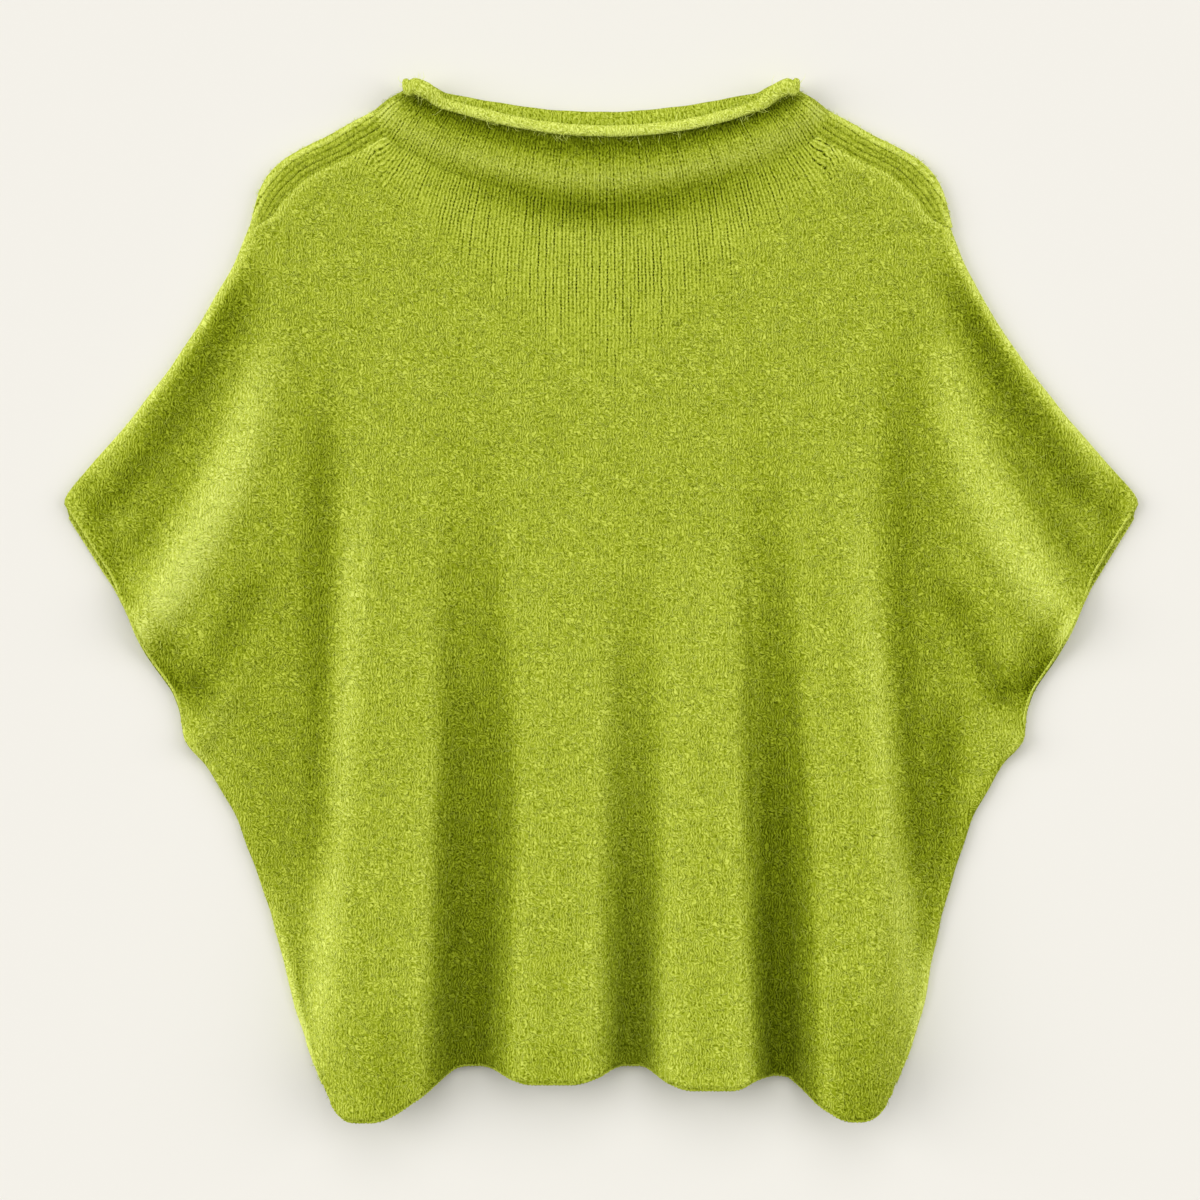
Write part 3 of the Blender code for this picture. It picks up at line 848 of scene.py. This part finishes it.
def surface_spots(grid, fields, weight, count, random):
    """Random spots on a grid surface, spread by area times weight: a cell is drawn, then a place in it.
    Each field is read off at every spot."""
    side_a = np.linalg.norm(grid[1:, :-1] - grid[:-1, :-1], axis=-1)
    side_b = np.linalg.norm(grid[:-1, 1:] - grid[:-1, :-1], axis=-1)
    chance = (side_a * side_b * weight[:-1, :-1]).ravel()
    chance = np.cumsum(chance) / chance.sum()
    cell = np.searchsorted(chance, random.random(count))
    row, column = np.divmod(np.minimum(cell, chance.size - 1), grid.shape[1] - 1)
    a, b = random.random((2, count, 1))

    def read(values):
        values = values if values.ndim == 3 else values[..., None]
        return ((values[row, column] * (1 - b) + values[row, column + 1] * b) * (1 - a)
                + (values[row + 1, column] * (1 - b) + values[row + 1, column + 1] * b) * a)

    return [read(grid)] + [read(field) for field in fields]


FIBRE_STEPS = 3
FIBRE_ACROSS = (0.31, 0.87, 0.38)            # slanting, so that hardly any normal lies along it
FIBRE_ARCH, FIBRE_THICKNESS, FIBRE_TAPER = (0.5, 0.95), (0.7, 1.3), 0.7
FIBRE_ROOT_DEPTH = 0.25
FIBRE_LOWEST, FIBRE_LOWEST_STEP = 0.05, 0.1


def fibre_mesh(name, spots, sizes, random, material):
    """Curled fibres as three-sided tapering strands of three lengths with a closed root and a pointed
    tip: each is an arc in the cloth's own plane, its heading turning evenly along it, raised along the
    normal by a sine. None goes below the surface that the cloth lies on."""
    root, normal, tone = spots
    length, lift, curl, radius, lighter = sizes
    normal = unit(normal)
    count = len(root)
    side = unit(np.cross(normal, np.array(FIBRE_ACROSS)))
    forward = np.cross(side, normal)
    start = random.uniform(0.0, 2.0 * math.pi, (count, 1))
    turn = curl * random.normal(0.0, 1.0, (count, 1))
    reach = random.uniform(*length, (count, 1))
    rise = random.uniform(*lift, (count, 1))
    share = np.linspace(0.0, 1.0, FIBRE_STEPS + 1)[None, :]
    angle = start + turn * (share - 0.5)
    step = reach / FIBRE_STEPS
    none = np.zeros((count, 1))
    east, north = (np.concatenate((none, np.cumsum(part(angle[:, 1:]), axis=1)), axis=1) * step
                   for part in (np.cos, np.sin))
    up = rise * np.sin(share * math.pi * random.uniform(*FIBRE_ARCH, (count, 1))) - FIBRE_ROOT_DEPTH
    path = (root[:, None] + east[..., None] * side[:, None] + north[..., None] * forward[:, None]
            + up[..., None] * normal[:, None])
    across = (-np.sin(angle))[..., None] * side[:, None] + np.cos(angle)[..., None] * forward[:, None]
    thick = radius * random.uniform(*FIBRE_THICKNESS, (count, 1)) * (1.0 - FIBRE_TAPER * share[:, :-1])
    corners = np.radians((90.0, 210.0, 330.0))
    rings = (path[:, :-1, None] + thick[..., None, None] * (
        np.cos(corners)[:, None] * across[:, :-1, None] + np.sin(corners)[:, None] * normal[:, None, None]))
    points = np.concatenate((rings.reshape(count, -1, 3), path[:, -1:]), axis=1)
    lowest = FIBRE_LOWEST + FIBRE_LOWEST_STEP * (np.arange(points.shape[1]) % 3)
    points[..., 2] = np.maximum(points[..., 2], lowest)
    base = (np.arange(count) * points.shape[1])[:, None, None]
    top = 3 * (FIBRE_STEPS - 1)
    quads = [(low + corner, low + (corner + 1) % 3, low + 3 + (corner + 1) % 3, low + 3 + corner)
             for low in range(0, top, 3) for corner in range(3)]
    tips = [(top + corner, top + (corner + 1) % 3, top + 3) for corner in range(3)] + [(2, 1, 0)]
    quads = (base + np.array(quads)[None]).reshape(-1, 4)
    tips = (base + np.array(tips)[None]).reshape(-1, 3)
    loops = np.concatenate((quads.ravel(), tips.ravel()))
    sides = np.concatenate((np.full(len(quads), 4), np.full(len(tips), 3)))
    mesh = bpy.data.meshes.new(name)
    mesh.vertices.add(count * points.shape[1])
    mesh.vertices.foreach_set("co", (points.reshape(-1, 3) * MM).astype(np.float32).ravel())
    mesh.loops.add(len(loops))
    mesh.loops.foreach_set("vertex_index", loops.astype(np.int32))
    mesh.polygons.add(len(sides))
    mesh.polygons.foreach_set("loop_start", (np.cumsum(sides) - sides).astype(np.int32))
    mesh.update(calc_edges=True)
    own = tone[:, 0] + random.uniform(*lighter, count)
    mark_mesh(mesh, "tone", np.repeat(own, points.shape[1]))
    mesh.shade_smooth()
    return place(name, mesh, material)


# ---------------------------------------------------------------- pieces


def panel_piece(name, rows, counts, back, knit):
    """The front or the back, with the front slightly uneven."""
    grid, normal, wale, course = panel(rows, counts, back)
    x, y = grid[..., 0], grid[..., 1]
    if not back:
        uneven = UNEVENNESS * ripple(x, y, UNEVENNESS_SIZE, UNEVENNESS_SEED)
        grid = resting(grid + normal * uneven[..., None], WALL / 2.0)
    marks = {"tone": painted_tone(grid, -1.0 if back else 1.0), "yoke": yoke_share(x, y)}
    piece = thicken(place(name, grid_mesh(name, grid, wale, course, marks), knit))
    return piece, (grid, normal, marks)


# Painted shade at the crease by the seam and in the band under the roll, painted highlight on the bulge and
# on the roll's top
COLLAR_LIGHT_AND_SHADE = (
    # share of the way from the neck seam to the end of the roll, tone in the middle, tone at the sides
    (-0.05, 0.47, 0.62),
    (0.05, 0.47, 0.62),
    (0.14, 0.64, 0.72),
    (0.25, 0.78, 0.78),
    (0.42, 0.62, 0.64),
    (0.55, 0.40, 0.46),
    (0.66, 0.36, 0.36),
    (0.71, 0.46, 0.46),
    (0.77, 0.68, 0.68),
    (0.81, 0.84, 0.78),
    (1.00, 0.96, 0.86),
)
ROLL_SAG = (
    # x, how much lower the roll lies in front
    (-126.0, 0.4),
    (-105.0, 2.8),
    (-80.0, 1.9),
    (-50.0, 1.3),
    (0.0, 1.0),
    (30.0, 2.0),
    (60.0, 3.3),
    (85.0, 4.0),
    (108.0, 3.8),
    (126.0, 0.4),
)
SIDE_FROM, SIDE_OVER = 0.40, 0.45
INNER_TONE = 0.70
END_TONE, LIGHT_FROM, LIGHT_OVER = 0.16, 0.94, 0.06    # lighter at the front's ends, below the roll
ROLL_FROM = 0.78                             # share of the way from the neck seam where the roll begins
COLLAR_OPENNESS = ((0.0, 0.5, 0.72, 0.85), (0.85, 0.6, 0.4, 0.1))
SUNK_RISES, SUNK_DEPTH, SUNK_OVER = (-0.05, -0.03, -0.015), 1.3, 0.06    # rows under the panel's edge
LOOSENESS, LOOSE_LENGTHS = 0.09, (31.0, 83.0)
COLLAR_COLUMNS, COLLAR_ARC, TUBE_ROWS, ROLL_ROWS = 150, 9, 26, 16

# The ends of the roll, where it turns to the back: it swells and rises before the fold, and at the fold
# it is drawn in, thinner and lower. Each change begins at a share of the rim's half and takes a width.
EAR_SWELL, EAR_RISE, EAR_CLOSE, EAR_THIN, EAR_DROP = 0.55, 3.6, 0.8, 0.7, 3.0
END_FROM, END_OVER = 0.88, 0.12
EAR_FROM, EAR_OVER = 0.82, 0.10
DROP_FROM, DROP_OVER = 0.965, 0.04


def collar_tube():
    """The tube from its seam to its rim: a front and a back half that follow the neck, joined by a half
    circle at each end. Returns its rows, each row's share of the way up and the front's shares."""
    share = np.sin(np.linspace(-math.pi / 2, math.pi / 2, COLLAR_COLUMNS + 1))
    arc = np.linspace(math.pi / 2, -math.pi / 2, COLLAR_ARC + 2)[1:-1]
    slope = np.array((RIM_HALF - NECK_HALF, RIM_END_Y - NECK_END_Y))
    out_x, out_y = slope[1] / np.hypot(*slope), -slope[0] / np.hypot(*slope)
    (_, front_seam), (_, front_rim) = collar_lines(share, False)
    rises = np.concatenate((SUNK_RISES, np.linspace(0.0, 1.0, TUBE_ROWS + 1)))
    rows = []
    for rise in rises:
        halves = []
        for back in (False, True):
            seam, rim = collar_lines(share, back)
            x = seam[0] + (rim[0] - seam[0]) * rise
            y = seam[1] + (rim[1] - seam[1]) * rise
            height = neck_height((y - front_seam) / (front_rim - front_seam))
            sunk = SUNK_DEPTH * (1.0 - smooth((rise - SUNK_RISES[0]) / SUNK_OVER))
            z = MIDDLE_Z + height + (-FOLD_RADIUS if back else FOLD_RADIUS - sunk)
            if not back:
                y = y - np.interp(x, *np.array(ROLL_SAG).T) * max(rise, 0.0) ** 2
            halves.append(np.stack((x, y, z), axis=-1))
        front, behind = halves
        x, y, z = front[-1]
        bulge, level = FOLD_RADIUS * np.cos(arc), z - FOLD_RADIUS + FOLD_RADIUS * np.sin(arc)
        right = np.stack((x + out_x * bulge, y + out_y * bulge, level), axis=-1)
        left = (right * (-1.0, 1.0, 1.0))[::-1]
        rows.append(np.concatenate((front, right, behind[::-1], left)))
    return np.array(rows), rises, share


def collar_roll(tube):
    """The roll: from the rim each row is turned further outwards on a circle, whose radius varies a
    little with two sines of the way round."""
    rim, upward = tube[-1], tube[-1] - tube[-2]
    around = np.roll(rim, -1, axis=0) - np.roll(rim, 1, axis=0)
    outward = unit(np.cross(around, upward))
    sideways = np.abs(rim[:, 0]) / RIM_HALF
    ends, ear, low = (smooth((sideways - begins) / width)[:, None] for begins, width in
                      ((END_FROM, END_OVER), (EAR_FROM, EAR_OVER), (DROP_FROM, DROP_OVER)))
    to_neck = np.array((0.0, 1.0, 0.0))
    upward = unit(unit(upward) * (1.0 - ends) + to_neck * ends)
    fold = ends * (1.0 - np.abs(outward[:, 2:]))
    lengths = np.linalg.norm(np.roll(rim, -1, axis=0) - rim, axis=-1)
    way = np.cumsum(lengths) - lengths
    quick, slow = (way * 2.0 * math.pi / length for length in LOOSE_LENGTHS)
    loose = 1.0 + LOOSENESS * np.sin(quick) * np.sin(slow + 1.0)
    swell = loose[:, None] + EAR_SWELL * ear * smooth(outward[:, 2:] + 1.0)
    radius = ROLL_RADIUS * swell * (1.0 - EAR_THIN * fold)
    outward = outward * (1.0 - EAR_CLOSE * fold)
    rise = EAR_RISE * ear * (1.0 - fold) - EAR_DROP * low
    turns = np.linspace(0.0, ROLL_TURN, ROLL_ROWS + 1)[1:]
    return np.array([rim + radius * (math.sin(turn) * upward + (1.0 - math.cos(turn)) * outward)
                     + smooth(turn) * rise * to_neck for turn in turns])


def collar_piece(knit):
    """The collar: the tube and then its roll as one closed grid."""
    tube, rises, share = collar_tube()
    grid = resting(np.concatenate((tube, collar_roll(tube))), WALL / 2.0)
    front_end, count = COLLAR_COLUMNS + 1, grid.shape[1]
    steps = np.linalg.norm(np.diff(grid, axis=0), axis=-1).mean(axis=1)
    way_up = np.concatenate(([0.0], np.cumsum(steps)))
    wale = np.empty(count)
    wale[:front_end] = wale_count(NECK_HALF * share, 0.0)
    last = wale[front_end - 1]
    wale[front_end:] = last + np.linspace(0.0, 2.0 * last + 2.0, count - front_end + 1)[1:]
    part = np.concatenate((rises * ROLL_FROM, np.linspace(ROLL_FROM, 1.0, ROLL_ROWS)))
    table = np.array(COLLAR_LIGHT_AND_SHADE).T
    middle_tone, side_tone = (np.interp(part, table[0], row)[:, None] for row in table[1:])
    sideways = np.abs(grid[..., 0]) / NECK_HALF
    tone = middle_tone + (side_tone - middle_tone) * smooth((sideways - SIDE_FROM) / SIDE_OVER)
    tone[:len(rises), :front_end] += END_TONE * smooth((np.abs(share) - LIGHT_FROM) / LIGHT_OVER)
    tone[:len(rises), front_end:] = INNER_TONE
    tone[len(rises):, front_end + COLLAR_ARC:count - COLLAR_ARC] = INNER_TONE
    yoke = np.repeat(np.interp(part, *COLLAR_OPENNESS)[:, None], count, axis=1)
    marks = {"tone": tone, "yoke": yoke}
    mesh = grid_mesh("collar_cloth", grid, wale, -way_up[:, None] / COURSE, marks, closed=True)
    around = np.roll(grid, -1, axis=1) - np.roll(grid, 1, axis=1)
    normal = unit(np.cross(around, np.gradient(grid, axis=0)))
    return thicken(place("collar_cloth", mesh, knit)), (grid, normal, marks)


SADDLE_TUCKED = (251.0, 231.8, 245.5)        # its last section, under the panel's edge
SADDLE_UNDER_COLLAR = 0.15
SADDLE_STATIONS, SADDLE_COLUMNS, SADDLE_ARC = 85, 28, 11
SADDLE_OVERLAP, OVERLAP_DEPTH, OVERLAP_SHARE = 1.4, 0.9, 1.0 / 12.0
RIB_HEIGHT = 0.35
SADDLE_TONE, SADDLE_OPENNESS = 0.60, 0.6
# Painted highlight on the saddle towards and round the shoulder's fold
SADDLE_HIGHLIGHTS = (
    # lighter by, from a share of the way across, over a share of it
    (0.08, 0.25, 0.25),
    (0.18, 0.31, 0.12),
)


def saddle_piece(side, knit):
    """A shoulder strip: its sections joined by a smooth line, each running across the front, round the
    fold and across the back, with a raised rib on each wale. It starts under the panel's edge."""
    name = "saddle_right_cloth" if side > 0.0 else "saddle_left_cloth"
    table = np.array(SADDLE_SECTIONS + (SADDLE_TUCKED,))
    edge = np.array(SECTIONS)[::-1]
    edge_x = np.interp(table[:, 0], edge[:, 0], edge[:, 2] if side > 0.0 else -edge[:, 1])
    knots = np.concatenate((np.stack((edge_x, table[:, 0]), axis=-1), table[:, 1:]), axis=1)
    knots = np.concatenate((knots[:1] + (knots[:1] - knots[1:2]) * SADDLE_UNDER_COLLAR, knots))
    stations = np.linspace(0.0, len(knots) - 1.0, SADDLE_STATIONS)
    fine = soften(points_along(knots, np.arange(len(knots)), stations), 3)
    seam, fold = fine[:, :2], fine[:, 2:]
    along = unit(np.gradient(fold, axis=0))
    out = np.stack((-along[:, 1], along[:, 0]), axis=-1)
    inner = fold - out * EDGE_INSET
    start = seam - out * SADDLE_OVERLAP
    parts = np.linspace(0.0, 1.0, SADDLE_COLUMNS + 1)[:-1]
    arc = np.linspace(math.pi / 2, -math.pi / 2, SADDLE_ARC)
    flat = start[:, None] + (inner - start)[:, None] * parts[None, :, None]
    width = np.linalg.norm(inner - start, axis=-1)[:, None]
    rib = (RIB_HEIGHT * np.cos(2.0 * math.pi * width * parts[None] / SADDLE_WALE)
           - OVERLAP_DEPTH * (1.0 - smooth(parts / OVERLAP_SHARE)))
    front = np.concatenate((flat, (MIDDLE_Z + FOLD_RADIUS + rib)[..., None]), axis=-1)
    back_z = np.full_like(rib, MIDDLE_Z - FOLD_RADIUS)
    behind = np.concatenate((flat, back_z[..., None]), axis=-1)[:, ::-1]
    turned = inner[:, None] + out[:, None] * FOLD_RADIUS * np.cos(arc)[None, :, None]
    level = np.repeat((MIDDLE_Z + FOLD_RADIUS * np.sin(arc))[None], len(fine), axis=0)
    turned = np.concatenate((turned, level[..., None]), axis=-1)
    grid = np.concatenate((front, turned, behind), axis=1)
    grid[..., 0] *= side
    normal = unit(np.cross(np.gradient(grid, axis=1), np.gradient(grid, axis=0)))
    normal *= np.where(normal[:, :1, 2:] < 0.0, -1.0, 1.0)
    wale, course = travelled(grid) / SADDLE_WALE, travelled(fold)[:, None] / COURSE
    way = np.linspace(0.0, 1.0, grid.shape[1])
    tone = SADDLE_TONE + sum(light * smooth((way - begins) / over) for light, begins, over in SADDLE_HIGHLIGHTS)
    marks = {"tone": np.repeat(tone[None], len(grid), axis=0), "yoke": SADDLE_OPENNESS}
    mesh = grid_mesh(name, grid, wale, course, marks, flip=side > 0.0)
    return thicken(place(name, mesh, knit)), (grid, normal, marks)


BOUND_STEP, BOUND_SIDES = 1.1, 8
BOUND_TWIST, BOUND_TAPER, BOUND_TIP = 0.28, 2.0, 0.15
BOUND_OPENNESS = 0.9


def bound_edge(name, path, radius, tone, knit):
    """A bound-off edge as a chain of stitches: a tube along the edge whose oval section turns half round
    in each stitch, like a two-strand twist."""
    length = travelled(path)
    count = int(length[-1] / BOUND_STEP)
    even = np.linspace(0.0, length[-1], count)
    centre = soften(points_along(path, length, even), 2)
    tangent = unit(np.gradient(centre, axis=0))
    up = np.tile((0.0, 0.0, 1.0), (count, 1))
    side = unit(np.cross(tangent, up))
    up = np.cross(side, tangent)
    turn = np.linspace(0.0, 2.0 * math.pi, BOUND_SIDES + 1)[:-1][None]
    swell = radius * (1.0 + BOUND_TWIST * np.cos(2.0 * (turn - math.pi * even[:, None] / WALE)))
    from_end = np.minimum(even, length[-1] - even)[:, None]
    swell = swell * np.minimum(1.0, from_end / BOUND_TAPER + BOUND_TIP)
    grid = resting(centre[:, None] + side[:, None] * (swell * np.cos(turn))[..., None]
                   + up[:, None] * (swell * np.sin(turn))[..., None], 0.0)
    marks = {"tone": tone, "yoke": BOUND_OPENNESS}
    mesh = grid_mesh(name, grid, turn / 3.0, even[:, None] / COURSE, marks, closed=True, flip=True)
    return place(name, mesh, knit)


# ---------------------------------------------------------------- stage

LIGHTS = (
    # name, strength, spread, turn about x, turn about z (degrees)
    ("top_light", 0.355, 60.0, -30.0, 0.0),
    ("left_light", 0.55, 45.0, 58.0, -98.0),
    ("right_light", 0.375, 45.0, 58.0, 98.0),
)
WORLD_LIGHT = 0.257
FLOOR_CREAM = (0.860, 0.836, 0.775)
FLOOR_HALF, FLOOR_Z = 3.0, -0.0004
CAMERA_PLACE = (-0.0007, 0.0003, 1.87)
CAMERA_LENS, CAMERA_SENSOR = 85.0, 36.0      # millimetres


def studio():
    """A plain pale surface, soft lamps and a level camera straight above."""
    scene = bpy.context.scene
    corners = [(x * FLOOR_HALF, y * FLOOR_HALF, FLOOR_Z) for x, y in ((-1, -1), (1, -1), (1, 1), (-1, 1))]
    floor_mesh = bpy.data.meshes.new("pale_floor")
    floor_mesh.from_pydata(corners, [], [(0, 1, 2, 3)])
    material, _, shader = new_material("pale_floor", 0.9, 0.1)
    shader.inputs["Base Color"].default_value = (*FLOOR_CREAM, 1.0)
    floor = place("pale_floor", floor_mesh, material)

    world = bpy.data.worlds.new("studio")
    world.use_nodes = True
    background = world.node_tree.nodes["Background"]
    background.inputs["Color"].default_value = (1.0, 1.0, 1.0, 1.0)
    background.inputs["Strength"].default_value = WORLD_LIGHT
    scene.world = world
    for name, strength, spread, tip, turn in LIGHTS:
        data = bpy.data.lights.new(name, "SUN")
        data.energy = strength * math.pi
        data.angle = math.radians(spread)
        place(name, data).rotation_euler = (math.radians(tip), 0.0, math.radians(turn))

    data = bpy.data.cameras.new("camera")
    data.lens, data.sensor_width = CAMERA_LENS, CAMERA_SENSOR
    scene.camera = place("camera", data)
    scene.camera.location = CAMERA_PLACE
    scene.view_settings.view_transform = "Standard"


# ---------------------------------------------------------------- assembly

NAP_SEED = 11
knit = brushed_knit()
wool = nap_fibre()
random = np.random.default_rng(NAP_SEED)

front, front_cloth = panel_piece("front_cloth", FRONT_ROWS, FRONT_COLUMNS, False, knit)
back, back_cloth = panel_piece("back_cloth", BACK_ROWS, BACK_COLUMNS, True, knit)
collar, collar_cloth = collar_piece(knit)
saddle_left, left_cloth = saddle_piece(-1.0, knit)
saddle_right, right_cloth = saddle_piece(1.0, knit)

# Fibres: lengths, rise off the cloth, curl, radius and how much lighter than the cloth below them
NAP_SIZES = ((3.0, 8.0), (0.5, 1.7), 2.4, 0.24, (-0.02, 0.24))
FINE_SIZES = ((2.5, 5.5), (0.4, 1.3), 2.2, 0.21, (-0.04, 0.20))
EDGE_SIZES = ((1.5, 3.4), (0.2, 1.0), 1.6, 0.15, (0.05, 0.30))
ROLL_SIZES = ((7.0, 15.0), (1.0, 3.5), 2.2, 0.17, (0.15, 0.45))
LONG_SIZES = ((5.0, 11.0), (0.6, 2.2), 2.6, 0.16, (0.14, 0.42))
FRONT_PARTS, FRONT_FIBRES, EDGE_FIBRES, LONG_FIBRES = 4, 7000, 3600, 1700
COLLAR_FIBRES, ROLL_FIBRES, SADDLE_FIBRES = 2800, 420, 500
EDGE_COLUMNS, EDGE_FADE, HEM_ROWS = 8, 3.0, 4
LONG_BELOW, LONG_MOST = 0.66, 0.3            # long fibres grow where painted shade makes the tone darker than this
FELTED_LESS, COLLAR_FELTED = 0.8, 1.3        # fewer fibres where the knit is open
ROLL_TOP = slice(-9, -5)                     # the roll's rows with long fibres


def grow(name, cloth, sizes, count, weight):
    """Fibres on the outer face of a cloth, spread by a weight."""
    grid, normal, marks = cloth
    spots = surface_spots(grid + normal * (WALL / 2.0), (normal, marks["tone"]), weight, count, random)
    return fibre_mesh(name, spots, sizes, random, wool)


def inside_weight(shape):
    """1 inside the front and 0 on its outermost columns and last rows."""
    column = np.arange(shape[1])
    inside = smooth((np.minimum(column, shape[1] - 1 - column) - EDGE_COLUMNS) / EDGE_FADE)[None]
    inside = np.repeat(inside, shape[0], axis=0)
    inside[-HEM_ROWS:] = 0.0
    return inside


front_grid, front_normal, front_marks = front_cloth
inside, closed_knit = inside_weight(front_grid.shape), 1.0 - front_marks["yoke"]
felted = inside * (1.0 - FELTED_LESS * front_marks["yoke"])
hollows = np.clip(LONG_BELOW - front_marks["tone"], 0.0, LONG_MOST) * closed_knit * inside
roll = np.zeros(collar_cloth[0].shape[:2])
roll[ROLL_TOP, :COLLAR_COLUMNS + 1] = 1.0
naps = [grow(f"nap_front_{number}", front_cloth, NAP_SIZES, FRONT_FIBRES, felted)
        for number in range(FRONT_PARTS)]
naps += [
    grow("nap_edges", front_cloth, EDGE_SIZES, EDGE_FIBRES, 1.0 - inside),
    grow("nap_hollows", front_cloth, LONG_SIZES, LONG_FIBRES, hollows),
    grow("nap_collar", collar_cloth, FINE_SIZES, COLLAR_FIBRES, COLLAR_FELTED - collar_cloth[2]["yoke"]),
    grow("nap_roll", collar_cloth, ROLL_SIZES, ROLL_FIBRES, roll),
    grow("nap_saddle_left", left_cloth, FINE_SIZES, SADDLE_FIBRES, np.ones(left_cloth[0].shape[:2])),
    grow("nap_saddle_right", right_cloth, FINE_SIZES, SADDLE_FIBRES, np.ones(right_cloth[0].shape[:2])),
]

# Bound-off edges: the hem's, and at each cuff the front's with the back's beyond it
HEM_EDGE, FRONT_CUFF_EDGE, BACK_CUFF_EDGE = (1.45, 0.66), (0.9, 0.84), (1.3, 0.80)    # radius, tone
CUFF_EDGE_RISE = 1.1
CUFF_EDGE_TOP, CUFF_EDGE_LOW = TIP_Y - 6.0, UNDERARM_Y + 8.0
CUFF_EDGES = (
    # side, column of the front, column of the back
    ("left", 4, 0),
    ("right", -5, -1),
)


def cuff_rows(rows):
    """True for the rows of a panel that end at a cuff."""
    y = np.linspace(TOP_Y, HEM_END_Y, rows + 1)
    return (y < CUFF_EDGE_TOP) & (y > CUFF_EDGE_LOW)


bound = [bound_edge("bound_hem", front_grid[-1, ARC_COLUMNS + 1:-ARC_COLUMNS - 1], *HEM_EDGE, knit)]
front_face = front_grid + CUFF_EDGE_RISE * front_normal
for side, front_column, back_column in CUFF_EDGES:
    front_path = front_face[cuff_rows(FRONT_ROWS), front_column]
    back_path = back_cloth[0][cuff_rows(BACK_ROWS), back_column]
    bound.append(bound_edge(f"bound_cuff_{side}", front_path, *FRONT_CUFF_EDGE, knit))
    bound.append(bound_edge(f"bound_back_cuff_{side}", back_path, *BACK_CUFF_EDGE, knit))

replaced = ((front, "front_panel"), (back, "back_panel"), (collar, "collar"),
            (saddle_left, "saddle_left"), (saddle_right, "saddle_right"))
for piece, node in replaced:
    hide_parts(node)

for piece in [piece for piece, _ in replaced] + naps + bound:
    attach(piece, "root")

studio()
